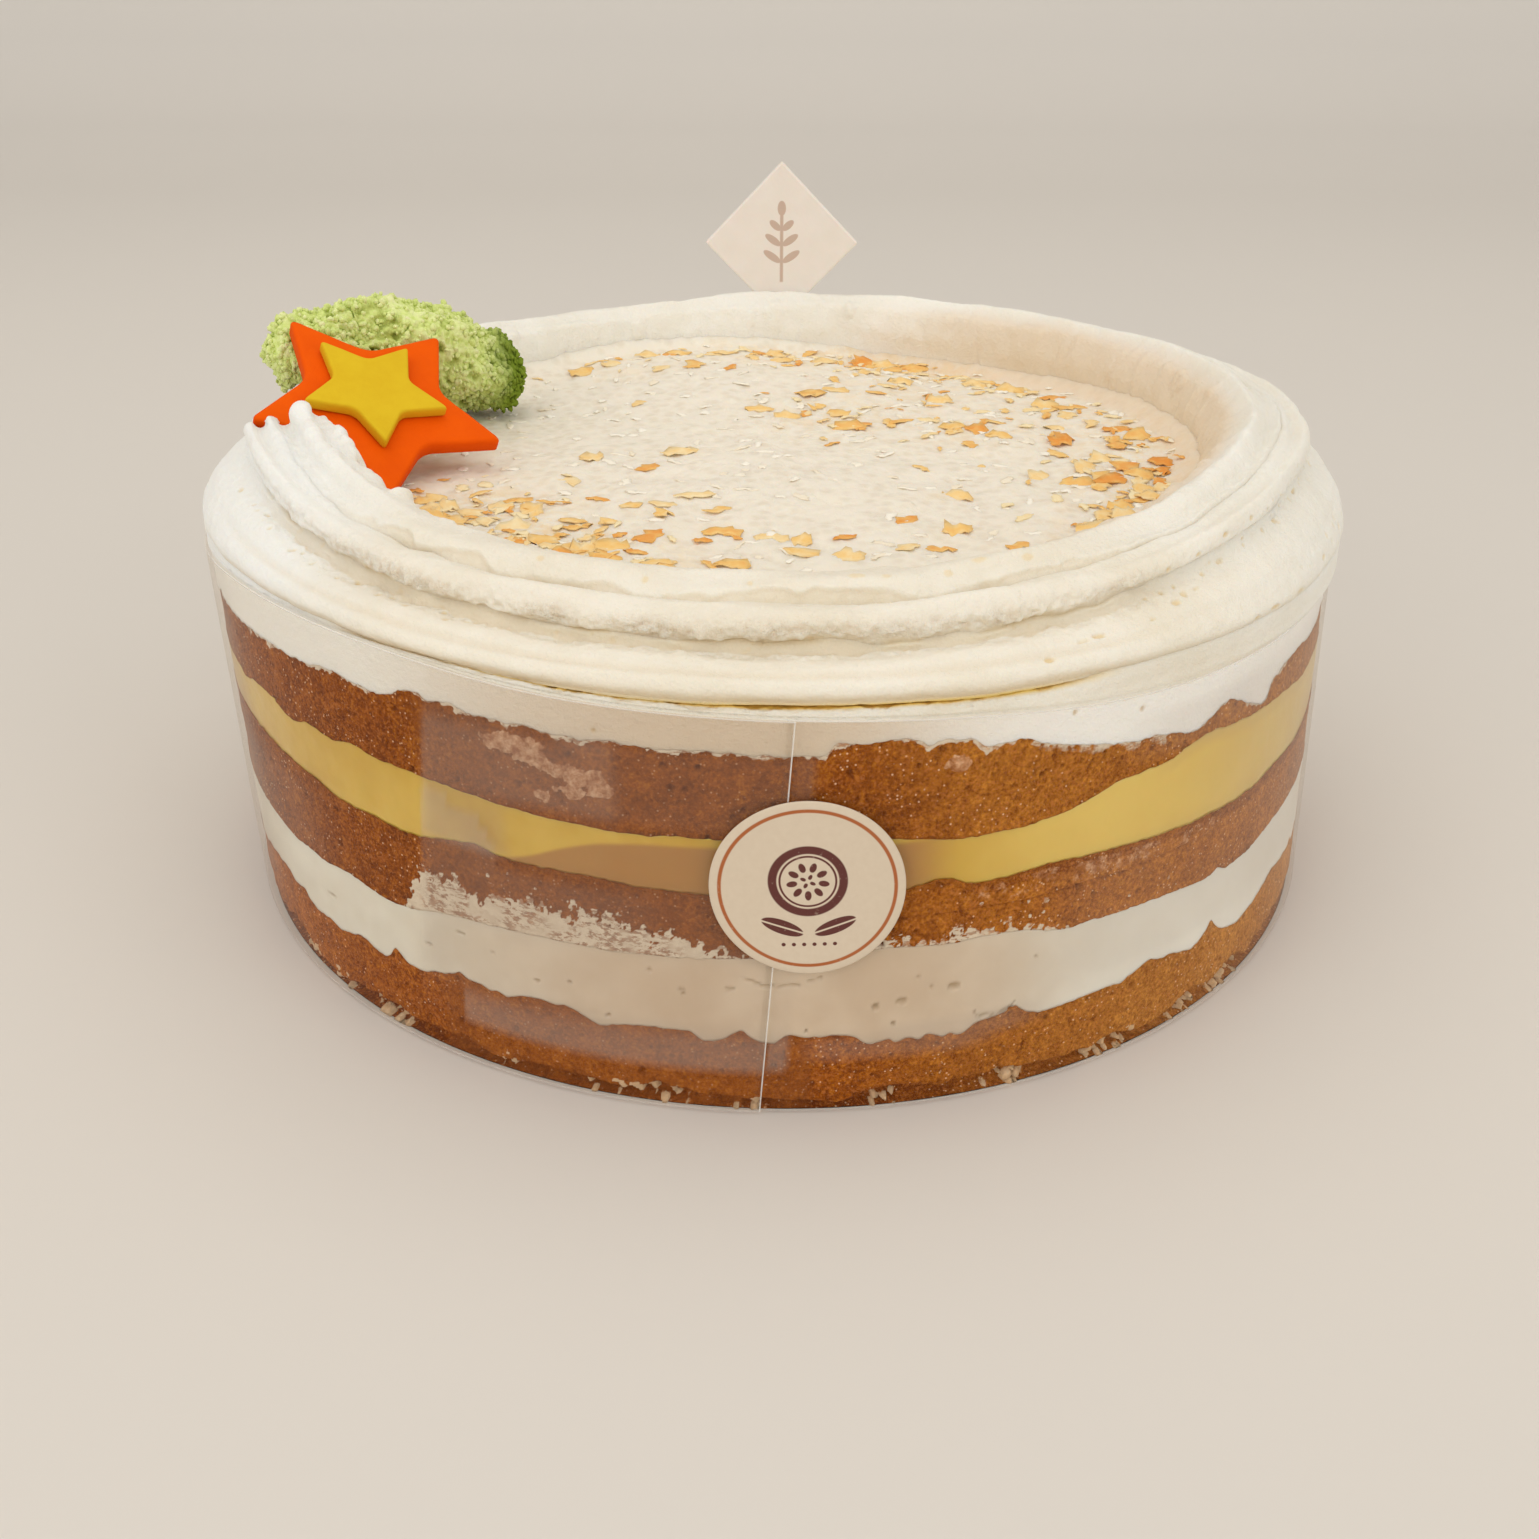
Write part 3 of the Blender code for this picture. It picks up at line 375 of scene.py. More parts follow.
class Look:
    """A material and the few ways this cake's surfaces are painted."""

    def __init__(self, name):
        self.material = bpy.data.materials.new(name)
        self.material.use_nodes = True
        self.tree = self.material.node_tree
        self.tree.nodes.clear()
        self.place = self.node("ShaderNodeTexCoord").outputs["Object"]

    def node(self, kind, settings=None, inputs=None):
        made = self.tree.nodes.new(kind)
        for key, value in (settings or {}).items():
            if key == "stops":
                self.set_stops(made.color_ramp, value)
            else:
                setattr(made, key, value)
        for key, value in (inputs or {}).items():
            value = value.socket if isinstance(value, Number) else value
            if isinstance(value, bpy.types.NodeSocket):
                self.tree.links.new(value, made.inputs[key])
            else:
                made.inputs[key].default_value = value
        return made

    def set_stops(self, ramp, stops):
        while len(ramp.elements) < len(stops):
            ramp.elements.new(0.5)
        for element, (at, colour) in zip(ramp.elements, stops):
            element.position = at
            element.color = (*colour, 1.0)

    def number(self, operation, *values):
        made = self.node("ShaderNodeMath", {"operation": operation}, dict(enumerate(values)))
        return Number(self, made.outputs[0])

    def kept(self, name):
        """A number stored in the mesh."""
        return Number(self, self.node("ShaderNodeAttribute", {"attribute_name": name}).outputs["Fac"])

    def stretched(self, x, y, z):
        """Object coordinates scaled along each axis."""
        made = self.node("ShaderNodeMapping", None, {"Vector": self.place, "Scale": (x, y, z)})
        return made.outputs[0]

    def grain(self, scale, detail=2.0, rough=0.5, place=None):
        """Noise, 0 to 1, with this many bumps a metre."""
        made = self.node("ShaderNodeTexNoise", None, {"Vector": place or self.place, "Scale": scale,
                                                      "Detail": detail, "Roughness": rough})
        return Number(self, made.outputs[0])

    def pores(self, scale, place=None):
        """Distance to the nearest of many scattered points, this many a metre, in point spacings."""
        made = self.node("ShaderNodeTexVoronoi", {"feature": "F1"}, {"Vector": place or self.place, "Scale": scale})
        return Number(self, made.outputs["Distance"])

    def blend(self, share, first, second):
        """A colour between two colours."""
        inputs = {0: share, 6: self.colour(first), 7: self.colour(second)}
        return self.node("ShaderNodeMix", {"data_type": "RGBA"}, inputs).outputs[2]

    def over(self, base, *coats):
        """A base colour under coats, each a share and the colour that it brings."""
        for share, colour in coats:
            base = self.blend(share, base, colour)
        return base

    def ramp(self, share, *stops):
        """A colour picked along a row of stops."""
        return self.node("ShaderNodeValToRGB", {"stops": stops}, {0: share}).outputs[0]

    def split(self, vector):
        """The three numbers of a vector."""
        return [Number(self, socket) for socket in self.node("ShaderNodeSeparateXYZ", None, {0: vector}).outputs]

    def colour(self, value):
        return (*value, 1.0) if isinstance(value, tuple) and len(value) == 3 else value

    def relief(self, height, depth, strength=1.0, below=None):
        """A bump from a height of 0 to 1 that stands for this depth in metres."""
        inputs = {"Height": height, "Distance": depth, "Strength": strength}
        if below is not None:
            inputs["Normal"] = below
        return self.node("ShaderNodeBump", None, inputs).outputs[0]

    def shader(self, colour, roughness, normal=None, **fixed):
        inputs = {"Base Color": self.colour(colour), "Roughness": roughness}
        if normal is not None:
            inputs["Normal"] = normal
        inputs.update({key.replace("_", " "): value for key, value in fixed.items()})
        return self.node("ShaderNodeBsdfPrincipled", None, inputs).outputs[0]

    def finish(self, shader):
        self.node("ShaderNodeOutputMaterial", None, {"Surface": shader})
        return self


def tint(red, green, blue):
    """A colour given as 0 to 255 in each channel, worked out as light."""
    return tuple(((v / 255 + 0.055) / 1.055) ** 2.4 if v > 10 else v / 3295 for v in (red, green, blue))


def sponge_look():
    """Crumb: granular golden browns, painted shade in its pores, pale specks as painted glints, torn pale crumbs and
    smeared cream.
    """
    look = Look("golden_sponge")
    x, y, z = look.split(look.place)
    grain = look.grain(1700, 2, 0.6) * 0.55 + look.grain(620, 3, 0.65) * 0.25 + look.grain(90, 3, 0.6) * 0.2
    grain = grain + look.kept("tone") * 0.06
    mottle = look.grain(360, 3, 0.65)
    right = x.step(0.005, 0.035)
    low_right = z.step(0.024, 0.018) * x.step(0.02, 0.08)
    veiled = x.step(-0.0570, -0.0540) * x.step(0.0065, 0.0040) * y.step(0.0, -0.01)
    fine = 1 - veiled * 0.6
    granule = look.grain(1900, 2, 0.5).step(0.54, 0.66) * fine
    # Painted shade in fine pores.
    dark = look.pores(1250).step(0.26, 0.10) * fine
    # Painted glints: pale specks on the crumb.
    spark = look.pores(980).step(0.22, 0.09) * look.grain(210, 1).step(0.40, 0.52) * fine
    base = look.ramp(grain, (0.40, tint(114, 52, 2)), (0.48, tint(144, 73, 6)), (0.55, tint(162, 85, 8)),
                     (0.63, tint(192, 116, 30)))
    base = look.over(base,
                     (mottle.step(0.50, 0.38) * 0.45, tint(122, 56, 6)),
                     (mottle.step(0.54, 0.66) * 0.40, tint(184, 106, 44)),
                     (right * (z.step(0.045, 0.052) * 0.24 + 0.36),
                      look.ramp(grain, (0.36, tint(142, 76, 10)), (0.68, tint(222, 154, 60)))),
                     (low_right * 0.6, look.ramp(grain, (0.38, tint(158, 96, 28)), (0.66, tint(222, 160, 78)))),
                     (veiled * 0.40, tint(150, 88, 40)),
                     (granule * 0.5, tint(198, 122, 62)),
                     # Painted shade in the fine pores.
                     (dark * 0.35, tint(98, 40, 0)),
                     (z.step(0.022, 0.026) * (1 - right) * 0.14, tint(40, 12, 0)),
                     # Painted glints.
                     (spark * 0.8, tint(238, 200, 160)),
                     # Painted shade in the pores cut into the wall.
                     (look.kept("pore") * 0.45, tint(96, 40, 2)))
    pale = look.ramp(look.grain(700, 3, 0.7), (0.36, tint(158, 100, 64)), (0.50, tint(204, 152, 112)),
                     (0.64, tint(236, 196, 160)))
    foot_crumb = look.blend(look.grain(800, 2), tint(210, 172, 126), tint(248, 228, 194))
    pale = look.blend(z.step(0.006, 0.004), pale, foot_crumb)
    torn = (look.kept("pale") + (look.grain(620, 4, 0.8) - 0.5) * 1.7).step(0.30, 0.66)
    cream = look.blend(look.grain(600, 2), tint(206, 186, 162), tint(232, 218, 196))
    gaps = look.grain(560, 3, 0.75, look.stretched(1, 1, 2.2)).step(0.45, 0.58) * look.grain(150, 2).step(0.36, 0.52)
    smear = (look.kept("smear") + (look.grain(640, 4, 0.75) - 0.5) * 0.8).step(0.28, 0.70)
    base = look.over(base, (torn * 0.68, pale), (smear * (1 - gaps * 0.7), cream))
    bump = look.relief(look.grain(1500, 3, 0.7), 0.0005, 0.8)
    return look.finish(look.shader(base, 0.8, bump, Specular_IOR_Level=0.1))


def side_cream_look():
    """Cream pressed flat behind the film, with painted light: cooler at the back and left, lighter at the right,
    warmer and darker in front; and painted shade in its cracks and pits.
    """
    look = Look("side_cream")
    cloud = look.grain(60, 3, 0.6)
    x, y = look.split(look.place)[:2]
    shade = cloud.step(0.35, 0.7)
    # Painted light: a cool tint at the back and left.
    cool_lit = look.blend(shade, tint(217, 209, 192), tint(228, 222, 207))
    # Painted light: lighter toward the right.
    cool_lit = look.blend(x.step(0.02, 0.07) * 0.45, cool_lit, tint(240, 238, 232))
    # Painted light and shade: warmer and darker in front, from warm reflected light.
    warm_lit = look.blend(shade, tint(201, 177, 150), tint(212, 191, 166))
    front = y.step(-0.085, -0.112) * x.step(0.060, 0.030)
    # Painted shade in the pits and cracks.
    base = look.over(cool_lit, (front, warm_lit), (look.kept("crack") * 0.6, tint(168, 140, 100)))
    bump = look.relief(look.grain(500, 2), 0.0002, 0.5)
    return look.finish(look.shader(base, 0.45, bump, Subsurface_Weight=0.2, Subsurface_Scale=0.004,
                                   Subsurface_Radius=(1.0, 0.75, 0.5)))


def whipped_look():
    """Whipped cream: warm near-white with a fine dull grain. Painted light: warmer in front and cooler at the left.
    Painted shade: deeper in its crevices, on its inner wall at the right, on the roll's woolly underside and in the
    lip's pits.
    """
    look = Look("whipped_cream")
    cloud = look.grain(48, 3, 0.6)
    x, y = look.split(look.place)[:2]
    shade = cloud.step(0.35, 0.7)
    front = y.step(-0.050, -0.085) * x.step(-0.100, -0.072)
    cool_lit = look.blend(shade, tint(236, 231, 218), tint(241, 237, 227))
    warm_lit = look.blend(shade, tint(233, 224, 205), tint(239, 232, 217))
    # The top cream behind the film, with painted light: warmer and darker in front, lighter toward the right.
    behind = look.blend(y.step(-0.085, -0.112) * x.step(0.050, 0.010), tint(239, 234, 224), tint(213, 193, 168))
    behind = look.blend(x.step(0.0, 0.05) * 0.8, behind, tint(249, 246, 241))
    # Painted shade on the border's inner wall at the right.
    inner = (x * x + y * y).step(0.0077, 0.0070) * x.step(0.01, 0.06)
    wool = look.kept("wool")
    base = look.over(cool_lit,
                     # Painted light: warmer in front, and cooler and whiter at the left.
                     (front, warm_lit),
                     (x.step(-0.055, -0.085) * 0.7, tint(241, 241, 237)),
                     (look.kept("pressed"), behind),
                     (inner * 0.55, tint(224, 196, 162)),
                     # Painted shade in the crevices.
                     (look.kept("crevice") * 0.8, tint(216, 192, 148)),
                     # Painted shade on the roll's woolly underside.
                     (wool * look.grain(700, 3, 0.75).step(0.40, 0.66) * 0.5, tint(204, 174, 132)),
                     # Painted shade in the lip's pits.
                     (look.kept("crack") * 0.7, tint(196, 160, 84)),
                     (look.kept("gold") * 0.9, tint(232, 190, 66)))
    bump = look.relief(look.grain(1500, 3, 0.7), 0.0003, 0.8)
    bump = look.relief(look.grain(420, 3, 0.6), 0.0006, 0.55, bump)
    bump = look.relief(look.grain(900, 3, 0.8) * wool, 0.0012, 0.9, bump)
    return look.finish(look.shader(base, 0.55, bump, Subsurface_Weight=0.30, Subsurface_Scale=0.0025,
                                   Subsurface_Radius=(1.0, 0.8, 0.6), Specular_IOR_Level=0.3))


def floor_look():
    """The coconut floor: cream with pale shreds pressed in, golden where toasted coconut lies thick."""
    look = Look("coconut_floor")
    chips = look.pores(360, look.stretched(1, 1, 0.4))
    base = look.blend(chips.step(0.15, 0.6), tint(231, 220, 201), tint(239, 230, 213))
    gold = look.kept("toast") * look.grain(230, 4, 0.7).step(0.42, 0.60)
    base = look.blend(gold * 0.42, base, look.blend(look.grain(330, 2), tint(243, 218, 158), tint(232, 176, 92)))
    x, y = look.split(look.place)[:2]
    # Painted shade: a beige ring where the floor meets the border's inner wall, on the right half.
    rim = (x * x + y * y).step(0.0052, 0.0062) * x.step(0.0, 0.04)
    base = look.blend(rim * 0.55, base, tint(228, 198, 162))
    bump = look.relief(chips, 0.0004, 0.5)
    bump = look.relief(look.grain(900, 3, 0.7), 0.0003, 0.6, bump)
    return look.finish(look.shader(base, 0.6, bump, Subsurface_Weight=0.35, Subsurface_Scale=0.004,
                                   Subsurface_Radius=(1.0, 0.75, 0.5)))


def curd_look():
    """Passion fruit curd: warm yellow, smooth and wet, browner where it is thin."""
    look = Look("curd")
    cloud = look.grain(70, 3, 0.6)
    base = look.blend(cloud.step(0.3, 0.75), tint(198, 156, 46), tint(214, 178, 74))
    base = look.blend(look.kept("haze") * 0.9, base, tint(165, 112, 60))
    right = look.split(look.place)[0].step(0.015, 0.05)
    base = look.blend(right * 0.6, base, tint(230, 200, 110))
    bump = look.relief(look.grain(260, 2), 0.0004, 0.4)
    return look.finish(look.shader(base, 0.28, bump, Coat_Weight=0.15, Coat_Roughness=0.15,
                                   Subsurface_Weight=0.2, Subsurface_Scale=0.003))


def sugar_look(name, colour, edge):
    """Rolled sugar paste: even colour, deeper on its rounded edge and sides as painted shade, with a faint powdery
    grain.
    """
    look = Look(name)
    cloud = look.grain(220, 3, 0.6)
    base = look.blend(cloud.step(0.3, 0.75) * 0.35, colour, edge)
    # Painted shade on the rounded edge and sides.
    base = look.blend(look.kept("edge") * 0.6, base, edge)
    bump = look.relief(look.grain(1300, 2, 0.6), 0.00012, 0.5)
    return look.finish(look.shader(base, 0.62 + look.grain(700, 1) * 0.12, bump, Specular_IOR_Level=0.06))


def moss_look():
    """Torn green sponge: open fluffy crumb, pale yellow-green, with painted shade: deeper green in its hollows and
    pores, paler where the crumb stands out.
    """
    look = Look("green_sponge")
    # Painted light and shade: paler where the crumb stands out, deeper in its hollows.
    tone = look.grain(520, 3, 0.7) * 0.55 + look.kept("height") * 0.45
    base = look.ramp(tone, (0.28, tint(170, 180, 86)), (0.45, tint(216, 229, 138)), (0.58, tint(232, 240, 166)),
                     (0.74, tint(238, 238, 184)))
    deep = look.blend(look.grain(500, 3, 0.7), tint(92, 118, 20), tint(150, 168, 60))
    # The pores get painted shade.
    base = look.over(base, (look.kept("tip"), deep), (look.kept("pore") * 0.4, tint(118, 132, 42)))
    bump = look.relief(look.grain(1300, 3, 0.7), 0.0005, 0.8)
    return look.finish(look.shader(base, 0.9, bump, Specular_IOR_Level=0.1))


def flake_look(name, pale, middle, deep):
    """Coconut flakes: each has its own shade, kept in the mesh, with deeper toasted ends."""
    look = Look(name)
    shade = look.kept("shade") + (look.grain(700, 2) - 0.5) * 0.4
    base = look.ramp(shade, (0.1, pale), (0.55, middle), (0.95, deep))
    bump = look.relief(look.grain(1600, 2), 0.0002, 0.5)
    return look.finish(look.shader(base, 0.6, bump, Specular_IOR_Level=0.2))


def film_look():
    """Clear film: see-through, mirror-like by its angle, with a faint dry haze kept in the mesh and a painted
    highlight along its edges.
    """
    look = Look("clear_film")
    clear = look.node("ShaderNodeBsdfTransparent", None, {"Color": (0.995, 0.99, 0.98, 1.0)}).outputs[0]
    gloss = look.node("ShaderNodeBsdfGlossy", None, {"Color": (1.0, 0.98, 0.95, 1.0), "Roughness": 0.05}).outputs[0]
    # Painted highlight: the mist is whiter at the film's edges.
    dust = look.blend(look.kept("rim"), (0.56, 0.46, 0.385), (0.93, 0.90, 0.85))
    mist = look.shader(dust, 0.5, Specular_IOR_Level=0.1)
    slant = Number(look, look.node("ShaderNodeLayerWeight", None, {"Blend": 0.5}).outputs["Facing"])
    mirror = (slant * slant * slant * slant * slant * 0.5 + 0.007) * look.kept("outer")
    glazed = look.node("ShaderNodeMixShader", None, {0: mirror, 1: clear, 2: gloss}).outputs[0]
    both = look.node("ShaderNodeMixShader", None, {0: look.kept("haze"), 1: glazed, 2: mist}).outputs[0]
    return look.finish(both)


# ---- the layers ----

WALL_STEPS = 1500
AZIMUTHS = turn_steps(WALL_STEPS)
# The fine walls start just inside the solids' own walls
WALL_RADIUS = LAYER_RADIUS - 0.00005


def rim_place(azimuth, across):
    """Places round a ring at the wall's radius, to read noise that has no seam."""
    angle = np.radians(azimuth)
    return np.stack([LAYER_RADIUS * np.sin(angle), -LAYER_RADIUS * np.cos(angle), across + 0 * angle], -1)


def cusps(azimuth, pitch, seed):
    """Lobes that meet in sharp upward cusps: one minus the size of a wandering sine."""
    wander = 1.3 * noise(rim_place(azimuth, 0.3), 0.015, seed)
    lobe = 1 - np.abs(np.sin(np.radians(azimuth) * 180 / pitch + wander)) ** 0.6
    return lobe * (0.6 + 0.6 * noise(rim_place(azimuth, 0.5), 0.012, seed + 1))


def measured(line, azimuth, softness):
    """A measured line, a little rounded: the mean of five close readings."""
    line = np.array(line, float).reshape(-1, 2)
    return sum(np.interp(azimuth + k * softness, line[:, 0], line[:, 1]) for k in (-2, -1, 0, 1, 2)) / 5


def edge_height(level, azimuth):
    """A boundary at the wall: the measured line in front, the stations behind, and this pair's ragged edge."""
    coarse = noise(rim_place(azimuth, 0.1 + level), 0.006, 31 + level)
    fine = noise(rim_place(azimuth, 0.7 + level), 0.0016, 47 + level)
    finest = noise(rim_place(azimuth, 0.9 + level), 0.0007, 53 + level)
    back = around(BOUNDARIES[level], azimuth) + (0.0005, 0.0003, 0.0004, 0.0004, 0.0009)[level] * coarse
    if level == 0:
        back = back - 0.0006 + 0.0024 * cusps(azimuth, 3.6, 61)
    if level == 4:
        back = back - 0.0004 + 0.0016 * cusps(azimuth, 5.0, 67)
    front = measured(EDGE_LINES[level], azimuth, EDGE_SOFTNESS[level]) / 1000
    share = smooth(-66, -60, azimuth) * smooth(66, 60, azimuth)
    rough = (0.00022, 0.00018, 0.00022, 0.00022, 0.00030)[level]
    return back + (front - back) * share + rough * fine + 0.5 * rough * finest


def layer_rows(level, wall_rows):
    """Rows of a layer: top surface from the middle outward, down the wall, and back under."""
    azimuth = AZIMUTHS[None, :]
    inner = np.array([0.02, 0.06, 0.09, 0.102, 0.1070, 0.1088])[:, None]
    high = edge_height(level, AZIMUTHS)[None, :]
    low = edge_height(level - 1, AZIMUTHS)[None, :] if level > 0 else np.zeros_like(high)
    flat_high = float(np.mean([s[1] for s in BOUNDARIES[level]]))
    flat_low = float(np.mean([s[1] for s in BOUNDARIES[level - 1]])) if level > 0 else 0.0
    share = (inner / LAYER_RADIUS) ** 2
    top = lean(inner + 0 * azimuth, azimuth, flat_high + (high - flat_high) * share, TOP_TAPER)
    under = lean(inner + 0 * azimuth, azimuth, flat_low + (low - flat_low) * share, TOP_TAPER)[::-1]
    down = np.linspace(1, 0, wall_rows)[:, None]
    height = low + (high - low) * down
    return top, height, under, down


# The smeared cream's upper line on the middle sponge: azimuth and height in millimetres, by turns
SMEAR_LINE = (-34.2, 25, -33.4, 28, -32.4, 31.5, -31.3, 33.6, -30.6, 34.9, -25, 34.7, -20, 34.2, -17, 34.5, -13, 34.1,
              -9, 33, -6, 31.6, -3, 29.8, 3, 29.8, 7, 31.2, 13, 31, 20, 31.2, 23, 29.4, 26, 28)
# Crumbs of cream on the middle sponge: azimuth, height in millimetres and size
LEVEL_CRUMBS = ((17.3, 36.0, 0.5), (23.3, 34.3, 0.5), (23.1, 32.2, 0.4), (21.8, 32.0, 0.35), (21.6, 34.8, 0.3),
                (32.0, 30.3, 0.4), (36.8, 30.5, 0.4), (-22.0, 38.9, 0.35), (-24.0, 37.6, 0.4), (-19.5, 37.2, 0.35))
# Torn pale crumb on the top sponge: azimuth, height in millimetres and both half sizes
PALE_PATCHES = ((-20.6, 62.0, 2.2, 1.5), (-18.8, 60.2, 1.4, 1.4), (-16.2, 58.6, 2.2, 1.2), (-14.4, 58.0, 1.8, 1.6),
                (-17.7, 54.2, 1.2, 1.3), (-15.4, 55.4, 1.8, 1.0), (-12.6, 56.6, 1.4, 1.6), (15.2, 60.6, 1.2, 1.0))


# Pale crumbs lying along the foot of the film: azimuth and half the width of each cluster
FOOT_CRUMBS = ((-52.0, 1.6), (-46.0, 1.4), (-38.0, 2.0), (-24.0, 0.8), (-16.0, 0.6), (-11.0, 2.6), (-3.0, 1.6),
               (9.0, 0.9), (20.0, 1.6), (31.0, 2.6), (41.0, 1.6), (48.0, 2.2))


def over_rows(parts, values):
    """One number a point over several groups of rows, from one value for each group."""
    return np.concatenate([value + np.zeros(part.shape[:2]) for part, value in zip(parts, values)])


def layer_piece(name, rows, radius, look, node, values):
    """A closed layer: its top, its wall at this radius, and its underside. The numbers it keeps are the wall's."""
    top, height, under, _ = rows
    wall = lean(radius, AZIMUTHS[None, :] + 0 * height, height, TOP_TAPER)
    parts = (top, wall, under)
    kept = {key: over_rows(parts, (0.0, value, 0.0)) for key, value in values.items()}
    return turned_piece(name, np.concatenate(parts), look, [node], kept)


def foot_marks(wall):
    """The lowest sponge: a ragged foot, cut back and darker with painted shade, with clusters of pale crumbs in it.
    """
    rim = rim_place(AZIMUTHS, 0.2)
    edge = (0.0029 + 0.0016 * noise(rim, 0.009, 97) + 0.0007 * noise(rim, 0.0024, 98))[None, :]
    hollow, own = cells(wall.place, 0.0015, 94)
    crumbs = smooth(0.55, 0.42, hollow + 0.4 * wall.patch) * (own > 0.35)
    crumbs = crumbs * smooth(0.0030, 0.0018, wall.height - 0.0012 * own)
    crumbs = crumbs * smooth(0.0, 0.5, sum(bell(wall.azimuth, turn, wide) for turn, wide in FOOT_CRUMBS))
    wall.relief = wall.relief + 0.0020 * smooth(edge + 0.0002, edge - 0.0008, wall.height) * (1 - 0.85 * crumbs)
    # Painted shade in the cut-back foot.
    wall.tone = wall.tone - 1.2 * smooth(edge, edge - 0.0008, wall.height) * (1 - crumbs) + 0.25
    wall.pale = np.maximum(wall.pale, 1.4 * crumbs)


def middle_marks(wall):
    """The middle sponge: cream smeared over it below a ragged line, and single crumbs of cream. At the right
    its tone darkens under the curd and a crease runs along it, with painted shade in the crease."""
    azimuth, height, patch = wall.azimuth, wall.height, wall.patch
    line = measured(SMEAR_LINE, azimuth, 0.2) / 1000
    dust = layered(wall.place, 0.0011, 3, 92, 0.8)
    smear = smooth(-0.15, 0.35, (line - height) / 0.0034 + 0.8 * patch + 1.1 * dust)
    smear = smear * smooth(-0.0002, 0.0003, line - wall.low)
    smear = smear * (0.93 - 0.25 * smooth(0.2, 0.7, dust))
    smear = smear * smooth(-35, -33.5, azimuth) * smooth(28, 25, azimuth)
    for middle, level_mm, size in LEVEL_CRUMBS:
        away = np.hypot((azimuth - middle) * 1.9, height * 1000 - level_mm) / size
        smear = np.maximum(smear, 0.9 * smooth(1.1, 0.7, away + 0.5 * patch))
    wall.smear = smear
    gap = wall.high - height
    right = smooth(12, 20, azimuth)
    tone = wall.tone + right * (0.9 * smooth(0.0012, 0.0026, gap) - 0.9 * smooth(0.0026, 0.0010, gap))
    tone = tone - 0.4 * right * smooth(0.0046, 0.0056, gap)
    band = smooth(0.0004, 0.0010, gap) * smooth(0.0050, 0.0034, gap) * smooth(50, 40, azimuth)
    wall.pale = np.maximum(wall.pale, 0.45 * right * band * smooth(-0.6, 0.1, patch))
    crease = smooth(0.00035, 0.0, np.abs(height - 0.0352 - 0.0003 * noise(wall.place, 0.01, 99)))
    # Painted shade in the crease.
    wall.tone = tone - 1.2 * crease * smooth(7, 11, azimuth) * smooth(44, 38, azimuth)
    wall.relief = wall.relief + 0.0004 * crease * smooth(7, 11, azimuth) * smooth(44, 38, azimuth)


def top_marks(wall):
    """The top sponge: a thin smear under its edge, a veil of cream at the right, and patches of torn pale crumb."""
    azimuth, height, patch = wall.azimuth, wall.height, wall.patch
    gap = wall.high - height
    smear = smooth(0.12, 0.3, patch + 1.1 * (0.35 - gap / 0.0022)) * 0.75
    veil = smooth(20, 23, azimuth) * smooth(39, 35, azimuth) * smooth(0.0026, 0.0008, gap)
    wall.smear = np.maximum(smear, 0.55 * veil * smooth(-0.3, 0.2, patch))
    for middle, level_mm, wide, tall in PALE_PATCHES:
        away = np.hypot((azimuth - middle) / wide, (height * 1000 - level_mm) / tall)
        wall.pale = np.maximum(wall.pale, smooth(1.10, 0.85, away + 1.3 * patch))
    wall.relief = wall.relief * (1 - 0.2 * wall.pale) - 0.0003 * wall.pale


SPONGE_MARKS = {0: foot_marks, 2: middle_marks, 4: top_marks}


def sponge_layer(name, level, look):
    """A sponge layer: its wall is cut back into pores by scattered hollows and layered noise, less where cream
    is smeared over it, and has the marks of its own level."""
    rows = layer_rows(level, 38)
    _, height, _, down = rows
    azimuth = AZIMUTHS[None, :] + 0 * height
    place = rim_place(azimuth, height)
    hollow, own = cells(place, 0.0013, 71 + level)
    small = smooth(0.42, 0.12, hollow) * (own > 0.5)
    hollow, own = cells(place, 0.0034, 76 + level)
    large = smooth(0.20, 0.08, hollow) * (own > 0.6)
    rough = 0.5 + 0.5 * layered(place, 0.0035, 4, 83 + level, 0.65)
    wall = SimpleNamespace(azimuth=azimuth, height=height, place=place, high=edge_height(level, AZIMUTHS)[None, :],
                           low=height[-1:], patch=layered(place, 0.0036, 4, 91 + level, 0.7),
                           relief=0.00045 * rough + 0.00035 * small + 0.0007 * large,
                           tone=0.8 * layered(place, 0.012, 3, 87 + level), smear=np.zeros_like(height),
                           pale=np.zeros_like(height))
    SPONGE_MARKS[level](wall)
    edge = smooth(0.0, 0.03, down) * smooth(0.0, 0.03, 1 - down)
    relief = wall.relief * (1 - 0.7 * wall.smear)
    # The pores are cut in, and the look gives them painted shade.
    values = {"pore": np.maximum(small * 0.8, large), "smear": wall.smear, "pale": wall.pale, "tone": wall.tone}
    return layer_piece(name + "_crumb", rows, WALL_RADIUS - np.maximum(relief, 0) * (0.3 + 0.7 * edge), look,
                       name, values)


